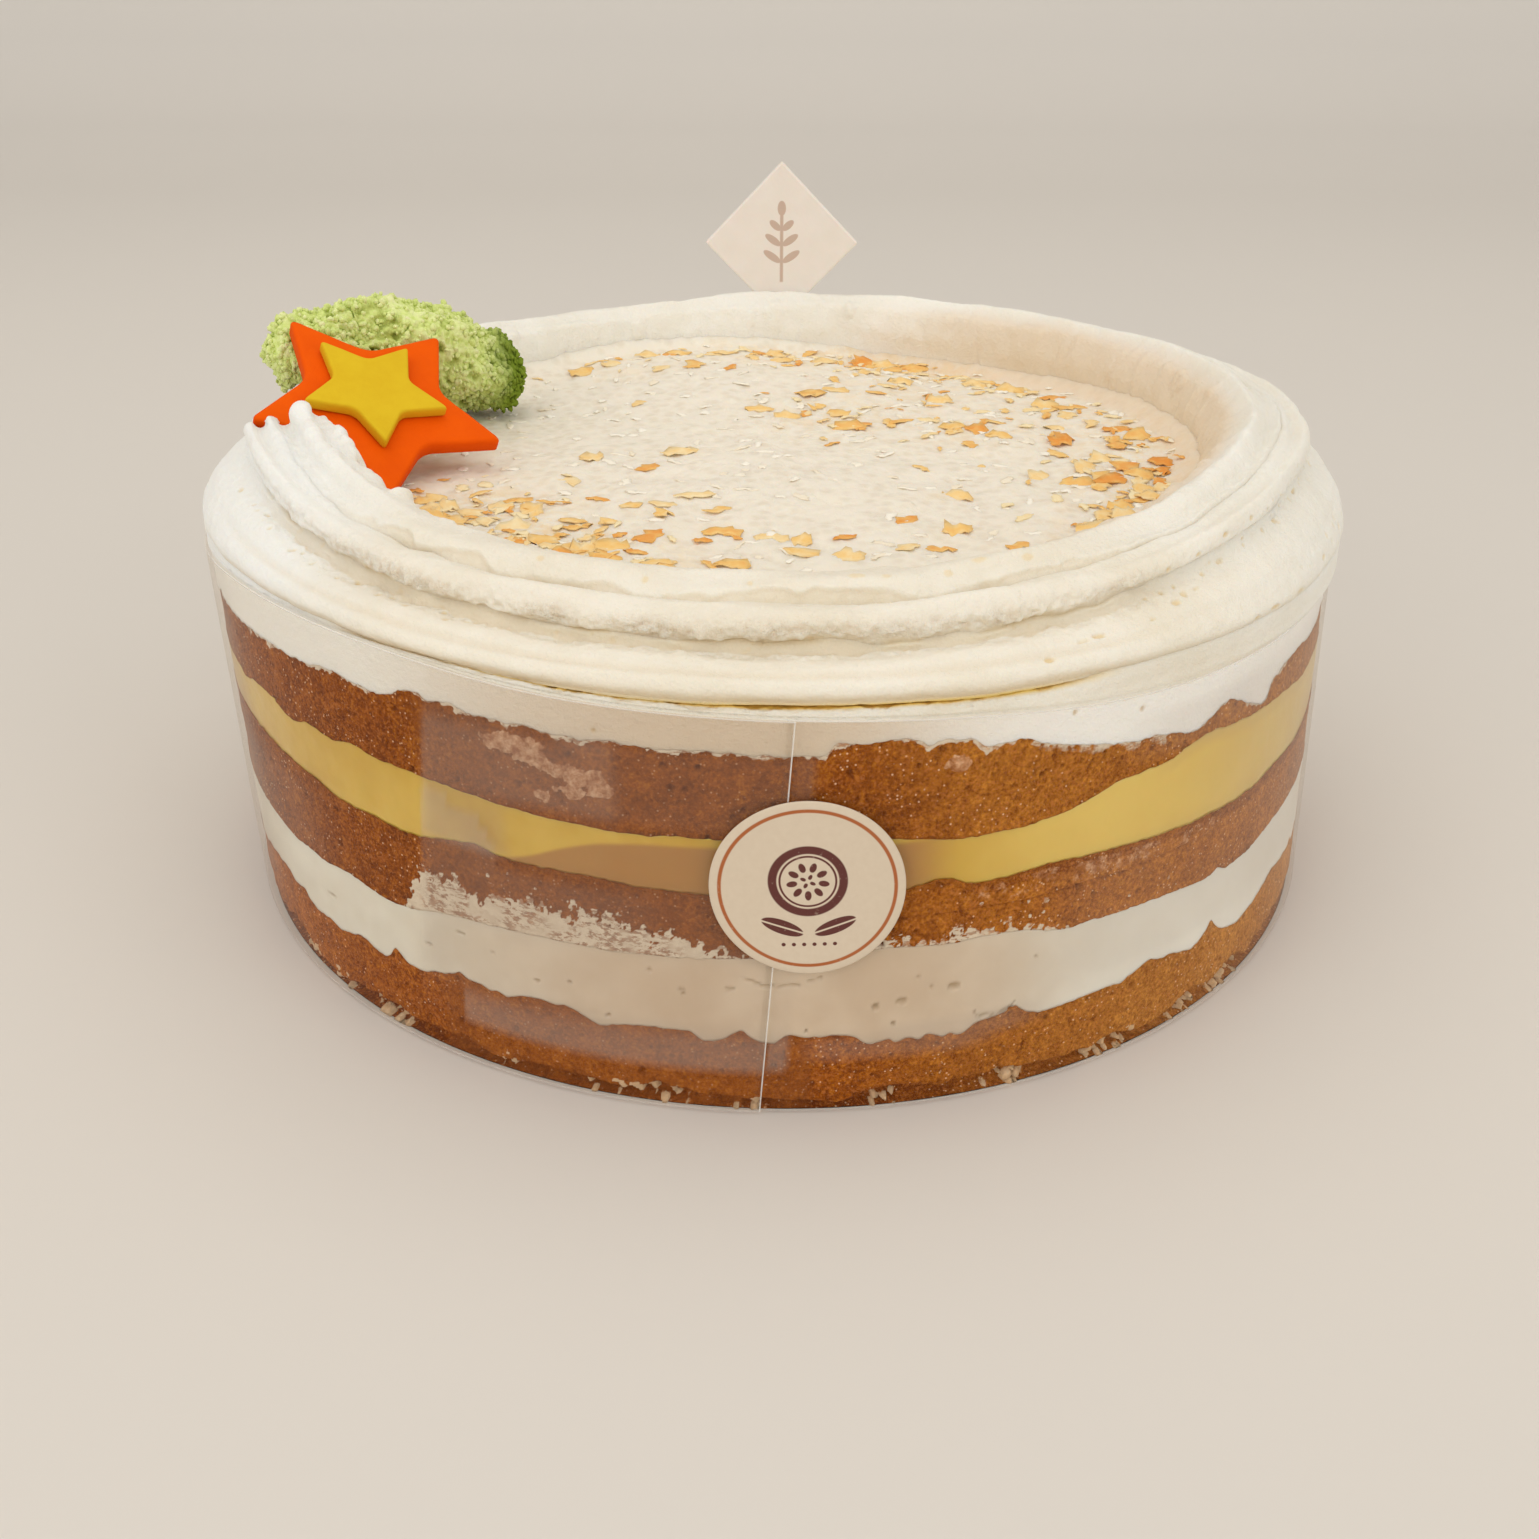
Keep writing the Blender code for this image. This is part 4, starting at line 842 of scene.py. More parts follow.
# Pits in the middle cream: azimuth, height in millimetres and half sizes; and cracks: azimuth and height by turns
PITS = ((8.4, 19.5, 0.35, 0.7), (10.6, 20.2, 0.5, 0.55), (15.1, 21.6, 0.55, 0.7), (13.1, 22.0, 0.2, 0.25),
        (9.9, 16.0, 0.2, 0.3), (2.6, 15.6, 0.15, 0.4), (-20.2, 19.9, 0.3, 0.3), (-17.2, 21.0, 0.2, 0.25),
        (-31.5, 20.3, 0.45, 0.25), (-45.0, 19.4, 0.8, 0.3), (-27.6, 25.0, 0.5, 0.25), (-14.0, 16.0, 0.3, 0.25),
        (-24.4, 23.0, 0.2, 0.2), (-7.4, 22.0, 0.15, 0.4), (22.5, 24.0, 0.2, 0.2), (12.0, 24.5, 0.15, 0.2))
CRACKS = ((-2.6, 25.6, -1.7, 24.9, -0.8, 24.1, 0.3, 24.0, 1.3, 24.4, 2.2, 24.3), (2.8, 24.9, 3.6, 25.4, 4.1, 25.6),
          (-3.9, 23.2, -3.1, 23.5), (-7.8, 22.6, -7.2, 22.9),
          (16.9, 16.2, 17.2, 15.1, 18.6, 14.9, 20.3, 15.4, 20.8, 16.6))


def cream_layer(look):
    """The middle cream: pressed smooth, with short cracks and small pits where air was caught."""
    rows = layer_rows(1, 38)
    height = rows[1]
    azimuth = AZIMUTHS[None, :] + 0 * height
    place = rim_place(azimuth, height)
    ragged = 0.25 * noise(place, 0.0011, 101)
    crack = np.zeros_like(height)
    for middle, level_mm, wide, tall in PITS:
        away = np.hypot((azimuth - middle) / wide, (height * 1000 - level_mm) / tall)
        crack = np.maximum(crack, smooth(1.15, 0.5, away + ragged))
    for line in CRACKS:
        points = np.array(line).reshape(-1, 2)
        over = (azimuth > points[0, 0]) & (azimuth < points[-1, 0])
        away = np.abs(height * 1000 - np.interp(azimuth, points[:, 0], points[:, 1])) + 0.4 * ragged
        crack = np.maximum(crack, smooth(0.32, 0.08, away) * over * 0.7)
    hollow, own = cells(place, 0.009, 103)
    crack = np.maximum(crack, 0.8 * smooth(0.07, 0.03, hollow) * (own > 0.5))
    wave = 0.00012 * (1 + noise(place, 0.01, 109))
    # The crack numbers cut the pits and cracks in and also give them painted shade.
    return layer_piece("middle_cream_smooth", rows, WALL_RADIUS - wave - 0.0006 * crack, look,
                       "cream_middle", {"crack": crack})


def curd_layer(look):
    """The curd: smooth, a little sunk between the sponges, smeared up the wall at the right."""
    rows = layer_rows(3, 26)
    _, height, _, down = rows
    azimuth = AZIMUTHS[None, :] + 0 * height
    place = rim_place(azimuth, height)
    sunk = 0.00012 * (1 + noise(place, 0.008, 113)) + 0.00012 * (1 - smooth(0, 0.2, down) * smooth(0, 0.2, 1 - down))
    bend = measured((-24, 41, -20, 43, -17, 45.5, -14, 47.3, -10, 48.2, 5, 48.6), azimuth, 0.5) / 1000
    deep = smooth(0.0002, -0.0006, height - bend) * smooth(-25, -22, azimuth) * smooth(16, 11, azimuth)
    veil = smooth(33, 37, azimuth) * smooth(0.0030, 0.0014, edge_height(3, AZIMUTHS)[None, :] - height)
    return layer_piece("curd_smooth", rows, WALL_RADIUS - sunk, look, "passion_curd",
                       {"haze": 0.92 * deep + 0.6 * veil})


# ---- the top cream and the coconut floor ----

def floor_height(x, y):
    """The uneven coconut floor, a sum of slow waves."""
    height = np.full_like(x, FLOOR_HEIGHT)
    for size, turns, length, phase in FLOOR_WAVES:
        angle = phase * turns
        height = height + size * np.sin((x * math.cos(angle) + y * math.sin(angle)) / length + phase)
    return height


# Shares of the way up the lip at which its radius and its rise are given
LIP_STATIONS = (0, 0.12, 0.45, 0.72, 0.86, 1.0)


def cream_lip(look):
    """The top cream's wall, its torn lip over the film's edge, and the shoulder under the border."""
    azimuth = AZIMUTHS[None, :]
    low = edge_height(4, AZIMUTHS)[None, :]
    film = around(FILM_TOP, AZIMUTHS)[None, :]
    base = around(BORDER_BASE, AZIMUTHS)[None, :]
    bulge = around(BORDER_BULGE, AZIMUTHS)[None, :]
    inner = np.array([0.02, 0.06, 0.09, 0.104])[:, None]
    flat = float(np.mean([s[1] for s in SPONGE_3_TOP]))
    under = lean(inner + 0 * azimuth, azimuth, flat + (low - flat) * (inner / LAYER_RADIUS) ** 2, TOP_TAPER)
    up = np.linspace(0, 1, 34)[:, None]
    height = low + (film - 0.0002 - low) * up
    place = rim_place(azimuth + 0 * height, height)
    hollow, own = cells(place, 0.007, 131)
    # Pits in the wall: cut in, with painted shade.
    crack = 0.7 * smooth(0.09, 0.04, hollow) * (own > 0.55)
    wave = 0.00010 * (1 + noise(place, 0.01, 139))
    wall = lean(WALL_RADIUS - wave - 0.0004 * crack, azimuth + 0 * height, height, TOP_TAPER)
    room = np.maximum(base - film, 0.0004)
    share = np.linspace(0, 1, 14)[:, None]
    radius = np.interp(share, LIP_STATIONS, [0.10795, 0.1081, 0.1078, 0.1072, 0.1064, 0.1040])
    rise = np.interp(share, LIP_STATIONS, [0.02, 0.16, 0.62, 0.93, 0.86, 0.90])
    place = rim_place(azimuth + 0 * share, share * 0.006)
    torn = layered(place, 0.0030, 4, 127, 0.65) * smooth(0.05, 0.35, share)
    flush = 1 - smooth(-40, -26, azimuth) * smooth(32, 20, azimuth)
    tuck = np.interp(share, [0.0, 0.3, 0.72, 0.86, 1.0], [0.0, 0.0, 1.0, 1.0, 1.0])
    lift = film + room * rise + 0.0008 * torn * smooth(0.95, 0.8, share)
    lift = np.minimum(lift, base - 0.0002 + 0.0010 * smooth(0.1064, 0.1076, radius))
    raised = np.interp(share, [0.5, 0.72, 0.86, 1.0], [0.0, 0.0007, 0.0013, 0.0016])
    lift = lift + flush * tuck * (base + raised - lift)
    radius = radius + flush * np.interp(share, [0.3, 0.72, 0.86, 1.0], [0.0, 0.0007, 0.0009, 0.0022])
    out = radius + bulge * smooth(0.104, 0.107, radius) + 0.00035 * torn * (1 - flush) - 0.0002
    lip = lean(out, azimuth + 0 * share, lift, 0.0)
    closing = lean(np.array([0.09, 0.05])[:, None] + 0 * azimuth, azimuth, base - 0.001 + np.zeros((2, 1)), 0.0)
    parts = (under, wall, lip, closing)
    gold = smooth(0.55, 0.72, share + 0.10 * torn) * (1 - flush)
    values = {"pressed": over_rows(parts, (1.0, smooth(1.0, 0.93, up), 0.0, 0.0)),
              "crack": over_rows(parts, (0.0, crack, 0.0, 0.0)), "gold": over_rows(parts, (0.0, 0.0, gold, 0.0))}
    return turned_piece("cream_lip", np.concatenate(parts), look, ["cream_top"], values)


# Where small toasted coconut lies: place, spread and strength
TOAST = ((-0.056, -0.030, 0.009, 0.8), (-0.048, -0.046, 0.010, 0.9), (-0.034, -0.060, 0.010, 0.9),
         (-0.018, -0.068, 0.007, 0.5), (0.066, -0.030, 0.009, 0.9), (0.070, -0.008, 0.009, 0.9),
         (0.068, 0.014, 0.010, 0.7), (0.018, 0.071, 0.010, 1.3), (0.038, 0.066, 0.010, 1.0),
         (-0.006, 0.072, 0.009, 0.9), (0.010, 0.018, 0.010, 0.7), (0.038, 0.012, 0.009, 0.7),
         (0.048, 0.040, 0.010, 0.4), (0.052, -0.050, 0.008, 0.4), (0.030, -0.031, 0.003, 0.5),
         (-0.010, -0.049, 0.003, 0.5), (0.029, -0.049, 0.003, 0.5), (-0.018, -0.005, 0.003, 0.4),
         (-0.036, 0.060, 0.008, 0.5), (0.022, 0.040, 0.009, 0.5))


def patch_density(x, y):
    """How thick the small toasted coconut lies: the sum of its patches' bell curves."""
    total = np.zeros_like(x)
    for middle_x, middle_y, spread, strength in TOAST:
        total = total + strength * np.exp(-((x - middle_x) ** 2 + (y - middle_y) ** 2) / (2 * spread ** 2))
    return np.clip(total, 0, 1)


def floor_lumps(x, y):
    """Relief of the floor: broad swells, pressed shreds at their own heights in two sizes, and a fine grain."""
    place = np.stack([x, y, floor_height(x, y)], -1)
    chips, own = cells(place * (1, 1, 0.2), 0.0034, 149)
    small, small_own = cells(place * (1, 1, 0.2), 0.0017, 153)
    lumps = 0.0005 * noise(place, 0.007, 151) + 0.0004 * (own - 0.5) * smooth(0.6, 0.3, chips)
    return lumps + 0.0003 * (small_own - 0.5) * smooth(0.6, 0.3, small) + 0.00012 * noise(place, 0.0011, 157)


FLOOR_EDGE = 0.0836
FLOOR_UNDERSIDE = 0.0712
FLOOR_STEPS = 620
FLOOR_ROWS = 96


def border_fillet(radius):
    """How far the floor curves up toward the border."""
    return 0.0030 * smooth(0.0765, 0.0840, radius) ** 1.5


def coconut_floor(look):
    """The floor inside the border: slow waves, pressed chips, and a fillet up to the border."""
    azimuth = np.linspace(-180, 180, FLOOR_STEPS, endpoint=False)[None, :]
    radius = np.linspace(FLOOR_EDGE, 0.002, FLOOR_ROWS)[:, None]
    x = radius * np.sin(np.radians(azimuth)) + TOP_LEAN[0]
    y = -radius * np.cos(np.radians(azimuth)) + TOP_LEAN[1]
    height = floor_height(x, y)
    height = height + floor_lumps(x, y) * (0.25 + 0.75 * smooth(0.0800, 0.0765, radius)) + border_fillet(radius)
    base = lean(radius + 0 * azimuth, azimuth, height, 0.0)
    below = lean(np.array([FLOOR_EDGE, 0.04])[:, None] + 0 * azimuth, azimuth, np.full((2, 1), FLOOR_UNDERSIDE), 0.0)
    rows = np.concatenate([below[::-1], base])
    toast = patch_density(rows[..., 0], rows[..., 1])
    return turned_piece("coconut_floor", rows, look, ["cream_top"], {"toast": toast})


# ---- the piped border ----

def section_at(row):
    """The border's section between its points: radius and both shares, by a closed cubic."""
    section = np.array(BORDER_SECTION)
    count = len(section)
    k = np.floor(row).astype(int)
    t = (row - k)[..., None]
    p0, p1, p2, p3 = (section[(k + step) % count] for step in (-1, 0, 1, 2))
    return p1 + 0.5 * t * (p2 - p0 + t * (2 * p0 - 5 * p1 + 4 * p2 - p3 + t * (3 * (p1 - p2) + p3 - p0)))


def border_rows(row):
    """The border's smooth rows: its section carried round the rim, front shares blending into side shares.
    The line under the crest, the crack under the roll and the torn step wander up and down the section."""
    azimuth = AZIMUTHS[None, :]
    row = row[:, None] + 0 * azimuth
    ring = rim_place(azimuth, 0.9)
    row = row + bell(row, 8, 1.1) * (0.40 * noise(ring, 0.013, 261) + 0.2 * noise(ring, 0.005, 263))
    row = row + bell(row, 14.0, 0.8) * (0.30 * noise(ring, 0.009, 265) + 0.25 * noise(ring, 0.0035, 267))
    row = row + bell(row, 15.8, 0.7) * (0.30 * noise(ring, 0.006, 269) + 0.28 * noise(ring, 0.0018, 271))
    section = section_at(row)
    radius = section[..., 0]
    side = np.clip(around(SIDE_SHARE, azimuth), 0.0, 1.0)
    share = section[..., 1] + (section[..., 2] - section[..., 1]) * side
    low, crest = around(BORDER_BASE, azimuth), around(BORDER_CREST, azimuth)
    turn = np.radians(azimuth)
    wave = 0.35 * np.sin(turn * 9 + radius * 900) + 0.3 * np.sin(turn * 16 - radius * 700)
    height = low + (crest - low) * share + 0.0006 * wave * share
    push = around(BORDER_LEAN, azimuth) * np.clip(share, 0, 1) ** 1.5 * np.clip((0.1085 - radius) / 0.010, 0, 1)
    bulge = around(BORDER_BULGE, azimuth) * np.clip((radius - 0.099) / 0.006, 0, 1)
    return lean(radius + push + bulge + 0.0004 * wave * smooth(0.4, 0.6, share), azimuth, height, 0.0)


def bell(value, middle, width):
    return np.exp(-((value - middle) / width) ** 2)


# Grooves along the piping: place in the section, width, and depth in front, on the flanks and beside the star
BORDER_GROOVES = ((2.6, 0.5, 0.0002, 0.0002, 0.0003), (4.4, 0.6, 0.0001, 0.0003, 0.0008),
                  (7.1, 0.65, 0.0, 0.0003, 0.0010), (10.0, 0.7, 0.0, 0.0002, 0.0009), (12.7, 0.5, 0.0, 0.0, 0.0006),
                  (14.1, 0.30, 0.00045, 0.0001, 0.0002), (18.6, 0.5, 0.00045, 0.0002, 0.0))
# Shallow golden hollows seen on the right flank: azimuth, place in the section, half sizes and strength
FLANK_MARKS = ((28.5, 17.7, 0.9, 0.22, 0.60), (26.8, 17.9, 0.9, 0.15, 0.30), (23.0, 19.1, 0.5, 0.35, 0.60),
               (34.5, 17.6, 0.4, 0.15, 0.40), (38.0, 17.0, 0.6, 0.30, 0.55), (39.5, 16.6, 0.4, 0.35, 0.50),
               (41.0, 16.6, 0.6, 0.20, 0.35), (43.0, 15.8, 0.4, 0.25, 0.50), (46.0, 15.5, 0.5, 0.25, 0.45),
               (46.0, 21.2, 0.6, 0.40, 0.60), (49.0, 21.0, 0.8, 0.35, 0.55), (54.0, 21.0, 1.0, 0.40, 0.40),
               (43.0, 22.4, 1.0, 0.25, 0.60), (37.0, 22.4, 0.3, 0.30, 0.40), (51.5, 22.0, 0.8, 0.25, 0.50))
# Round beads of cream on the crest by the star: place in the section, azimuth and height
BEADS = ((3.4, -45.6, 0.0009), (3.0, -61.0, 0.0008), (4.4, -56.2, 0.0005), (2.6, -41.6, 0.0006), (3.8, -36.5, 0.0004))
# Torn finger tips of the piping beside the star: place in the section, azimuth and height
FINGERS = ((11.6, -70.5, 0.0004), (8.7, -70.0, 0.0008), (5.7, -68.5, 0.0018), (3.4, -63.5, 0.0016),
           (2.6, -58.5, 0.0014), (2.4, -53.0, 0.0012), (2.2, -48.0, 0.0008))


# Golden coconut dust caught on the crest: azimuth, place in the section and width in degrees
CREST_MARKS = ((-1.4, 6.5, 0.35), (-11.2, 6.7, 0.3), (8.6, 5.9, 0.9), (11.4, 6.2, 0.6), (-22.0, 6.2, 0.5),
               (17.5, 6.4, 0.5), (21.0, 5.6, 0.9), (26.0, 6.2, 0.7))


def border_detail(row, azimuth):
    """Relief of the piped cream along its normal, in metres, and how much painted shade a point gets in a crevice.
    Grooves run with the piping and end in torn finger tips, the valley under the crest opens in arches, edges are
    torn, the roll's underside is woolly with painted shade, and rows of pits follow the foot."""
    angle = np.radians(azimuth)
    flow = np.stack([0.098 * np.sin(angle), -0.098 * np.cos(angle), row * 0.0017 + 0 * angle], -1)
    side = np.clip(around(SIDE_SHARE, azimuth), 0.0, 1.0)
    star = smooth(-36, -58, azimuth) * smooth(-115, -90, azimuth)
    front = 1 - smooth(0.2, 0.75, side)
    height = 0.0004 * layered(flow, 0.014, 2, 173) + 0.00020 * layered(flow * (1, 1, 4.0), 0.010, 2, 163)
    for middle, width, ahead, flank, left in BORDER_GROOVES:
        depth = (ahead + (flank - ahead) * side) * (0.8 + 0.5 * noise(flow, 0.011, 167)) + left * star
        height = height - depth * bell(row, middle, width)
    arch = smooth(-0.25, 0.6, noise(flow * (1, 1, 0), 0.0085, 168)) * (0.4 + 0.6 * front)
    valley = np.where(row < 8.15, bell(row, 8.15, 0.28), bell(row, 8.15, 0.8))
    scallop = noise(flow * (1, 1, 0), 0.0060, 194) + 0.5 * noise(flow * (1, 1, 0), 0.0026, 196)
    upper = 7.70 - 0.8 * np.maximum(scallop, -0.3) * (1 - 0.5 * side)
    shade = smooth(upper - 0.10, upper + 0.22, row) * smooth(8.5, 8.1, row) * (1 - star) * (1 - 0.6 * side)
    height = height - 0.00055 * shade - (0.00020 + 0.0006 * arch) * valley * (1 - 0.7 * star)
    lumps = 0.7 * bell(row, 2.4, 1.6) + 0.25 * side * bell(row, 5, 6) + 0.14 + 0.5 * star * bell(row, 6, 5)
    height = height + 0.0010 * lumps * layered(flow, 0.0050, 3, 175, 0.6)
    blob, own = cells(flow, 0.0044, 176)
    height = height + 0.0007 * smooth(0.50, 0.15, blob) * (own > 0.72) * bell(row, 3.0, 1.4)
    height = height + 0.00013 * layered(flow, 0.0018, 3, 177, 0.7)
    # The roll's woolly underside: relief, and painted shade in its colour.
    wool = bell(row, 12.9, 1.1) * (0.15 + 0.85 * front)
    height = height + 0.0008 * wool * layered(flow, 0.0013, 2, 179) + 0.0010 * wool * layered(flow, 0.0045, 2, 180)
    fill = smooth(-0.1, 0.5, noise(flow, 0.0065, 184)) * bell(row, 14.3, 0.55)
    height = height + 0.0007 * fill
    torn = layered(flow, 0.0024, 3, 183, 0.7)
    edge = 1.3 * bell(row, 16.0, 0.5) * (0.3 + 0.7 * front) + 0.5 * bell(row, 7.8, 0.35) + 0.7 * bell(row, 1.4, 0.9)
    height = height + 0.0008 * torn * edge
    for place, turn, rise in BEADS:
        away = np.hypot((row - place) / 0.9, (azimuth - turn) / 1.1) + 0.15 * torn
        height = height + rise * smooth(1.0, 0.35, away)
    for place, turn, rise in FINGERS:
        height = height + rise * bell(row, place, 0.95) * bell(azimuth + 0.6 * torn, turn, 1.8)
    height = height - 0.0026 * star * smooth(-70.5, -76, azimuth) * bell(row, 9, 6)
    pit = border_pits(row, azimuth, flow, torn)
    height = height - 0.00045 * pit
    crack = bell(row, 14.1, 0.20) * smooth(-0.2, 0.2, noise(flow, 0.005, 187)) * (0.1 + 0.9 * front)
    ring = flow * (1, 1, 0)
    edge_row = 15.7 + 0.45 * noise(ring, 0.007, 189) + 0.35 * noise(ring, 0.0019, 190)
    band = smooth(edge_row + 0.12, edge_row - 0.12, row) * smooth(13.4, 14.0, row)
    # Painted shade: the band under the roll, its woolly underside, the crack, the line under the crest, the groove
    # below, under the foot and on the inner wall.
    crevice = front * (0.50 * band + 0.15 * wool) + 0.55 * crack + 0.34 * shade + 0.22 * front * bell(row, 18.6, 0.5)
    crevice = crevice + (0.35 + 0.35 * front) * bell(row, 21.8, 0.9)
    crevice = crevice + 0.45 * smooth(4.5, 0.5, row) * smooth(-60, -40, azimuth) * smooth(178, 125, azimuth)
    return height, {"crevice": np.clip(crevice, 0, 1), "wool": np.clip(wool * (0.5 + 0.5 * arch_shade(flow)), 0, 1),
                    "gold": border_gold(row, azimuth, torn, pit)}


# Rows of single pits: place in the section, pitch, and the first and last azimuth
PIT_ROWS = ((15.4, 2.9, 50, 88), (12.6, 4.4, 34, 84), (20.0, 3.7, 57, 96), (16.3, 3.4, -64, -22))


def border_pits(row, azimuth, flow, torn):
    """How deep in a pit a point of the border is: scattered hollows, denser along a few lines, rows of single
    torn pits, and the hollows seen on the right flank."""
    hollow, own = cells(flow, 0.0046, 181)
    small, small_own = cells(flow, 0.0022, 185)
    line = bell(row, 16.4, 0.5) * smooth(-14, -30, azimuth) * smooth(-62, -52, azimuth)
    line = line + (bell(row, 15.6, 0.45) + bell(row, 12.4, 0.45)) * smooth(26, 40, azimuth) * smooth(100, 84, azimuth)
    line = line + 0.9 * bell(row, 19.2, 0.55) * smooth(38, 55, azimuth) * smooth(110, 90, azimuth)
    line = line + 0.25 * bell(row, 14.5, 1.0)
    pit = smooth(0.17, 0.07, hollow) * (own > 0.70 - 0.30 * line)
    pit = np.maximum(pit, 0.8 * smooth(0.24, 0.10, small) * (small_own > 0.45)) * np.clip(line * 1.6, 0, 1)
    for middle, pitch, first, last in PIT_ROWS:
        cell = np.floor(azimuth / pitch).astype(np.int64)
        own, off, turn = (lattice(cell, 0 * cell, 0 * cell + k, 195 + int(middle)) for k in (1, 2, 3))
        aside = (azimuth / pitch - cell - 0.25 - 0.5 * turn) * pitch / (0.22 + 0.80 * own ** 2)
        away = np.hypot(aside, (row - middle - 0.9 * (off - 0.5)) / (0.16 + 0.22 * turn)) + 0.5 * torn
        pit = np.maximum(pit, smooth(1.1, 0.45, away) * (own < 0.75) * (azimuth > first) * (azimuth < last))
    for turn, place, wide, tall, depth in FLANK_MARKS:
        away = np.hypot((azimuth - turn) / wide, (row - place) / tall) + 0.45 * torn
        pit = np.maximum(pit, depth * 1.7 * smooth(1.15, 0.45, away))
    return pit


def border_gold(row, azimuth, torn, pit):
    """How golden the border is: in its pits, along its open foot in front, and where dust lies on the crest."""
    open_foot = smooth(-38, -26, azimuth) * smooth(30, 20, azimuth)
    gold = open_foot * bell(row, 22.7, 0.45) * (0.55 + 0.45 * smooth(-12, 0, azimuth)) + 0.42 * pit
    for turn, place, wide in CREST_MARKS:
        away = np.hypot((azimuth - turn) / wide, (row - place) / 0.35) + 0.4 * torn
        gold = np.maximum(gold, 0.30 * smooth(1.15, 0.6, away))
    return np.clip(gold, 0, 1)


def arch_shade(flow):
    """How much painted shade the roll's woolly underside gets along the ring, between minus one and one."""
    return np.clip(1.6 * noise(flow, 0.008, 191), -1, 1)


def outward_normals(rows):
    """Grid normals turned so that they point away from the ring's own middle line."""
    normal = grid_normals(rows)
    middle = rows.mean(axis=0, keepdims=True)
    side = np.sign(np.median(np.einsum("ijk,ijk->ij", normal, rows - middle)))
    return normal * side


def tucked(rows, inward, edge, inside):
    """Two rows that carry a ring on past its edge, outermost first, bending inward under its neighbour."""
    run = unit(rows[edge] - rows[inside])
    steps = ((0.0010, 0.0012), (0.0005, 0.0003))
    return [(rows[edge] + run * ahead + inward[edge] * deep)[None] for ahead, deep in steps]


# The rings: name, first and end row, and the hidden line inside as a radius and a share of height
BORDER_RINGS = (("border_crest", 0, 58, 0.0880, 0.20), ("border_roll", 57, 102, 0.0950, 0.15),
                ("border_foot", 101, 161, 0.0970, 0.02))


def piped_border(look):
    """The whole border as one grid of rows with relief, cut along its valley and its crack into three rings.
    Each ring's edges run on under its neighbour and are closed by flat strips through a hidden line inside."""
    row = np.concatenate([np.linspace(0, 8.14, 58), np.linspace(8.28, 14.1, 44), np.linspace(14.24, 22.9, 57),
                          [23.3, 24.0]])
    rows = border_rows(row)
    relief, kept = border_detail(row[:, None], AZIMUTHS[None, :] + 0 * row[:, None])
    rows = rows + outward_normals(rows) * relief[..., None]
    inward = -outward_normals(rows)
    low, crest = around(BORDER_BASE, AZIMUTHS)[None, :], around(BORDER_CREST, AZIMUTHS)[None, :]
    for name, start, end, radius, share in BORDER_RINGS:
        hidden = lean(radius + 0 * low, AZIMUTHS[None, :], low + (crest - low) * share, 0.0)
        before = tucked(rows, inward, start, start + 2) if start else []
        after = tucked(rows, inward, end - 1, end - 3)[::-1] if end < len(rows) else []
        part = np.concatenate(before + [rows[start:end]] + after + [hidden])
        count = len(part)
        ring = grid_faces(count, WALL_STEPS, wrap_rows=True).reshape(count, WALL_STEPS, 4)
        surface, strips = ring[:-2].reshape(-1, 4), ring[-2:].reshape(-1, 4)
        values = {key: np.concatenate([value[start:start + 1]] * len(before) + [value[start:end]]
                                      + [value[end - 1:end]] * (len(after) + 1)) for key, value in kept.items()}
        mesh_piece(name, part, [surface, strips], look, ["piped_border"], values, (1,))


def unit(vectors):
    return vectors / np.maximum(np.linalg.norm(vectors, axis=-1, keepdims=True), 1e-12)


# ---- the film and the label ----

# The haze's sharp edge beside the lap and the film's end: azimuths, degrees that each leans in a millimetre of
# height, and the height in millimetres at which it has its azimuth
HAZE_START = -29.5
HAZE_SLANT = 0.085
HAZE_END = 3.0
END_SLANT = 0.054
SLANT_LEVEL = 47
# Haze between film and cake: azimuths, how soft each end is, heights in millimetres, softness, and strength.
# A box that starts at the sharp edge beside the lap or ends at the film's end leans with that edge.
HAZE_BOXES = ((HAZE_START, HAZE_END, 0.35, 0.25, 8.7, 64.0, 0.15, 0.13),
              (HAZE_START, HAZE_END, 0.6, 0.25, 64.0, 80.0, 0.6, 0.08),
              (HAZE_START, -11.5, 0.15, 1.2, 52.0, 66.0, 1.0, 0.06),
              (HAZE_START, -21.4, 0.15, 0.8, 42.3, 51.4, 0.4, 0.24),
              (-27.5, HAZE_END, 0.15, 0.25, 8.7, 16.0, 0.12, 0.14), (3.0, 22.0, 1.5, 3.0, 9.4, 14.5, 0.3, 0.14),
              (-75.0, -57.0, 9.0, 3.0, 12.0, 80.0, 3.0, 0.14), (-60.0, -44.0, 4.0, 5.0, 27.0, 42.0, 2.0, 0.10),
              (25.0, 44.0, 5.0, 8.0, 15.0, 38.0, 2.0, 0.10), (44.0, 80.0, 8.0, 12.0, 14.0, 60.0, 4.0, 0.14),
              (33.0, 48.0, 5.0, 5.0, 52.5, 60.0, 1.0, 0.12), (100.0, 240.0, 20.0, 20.0, 8.0, 80.0, 3.0, 0.08))
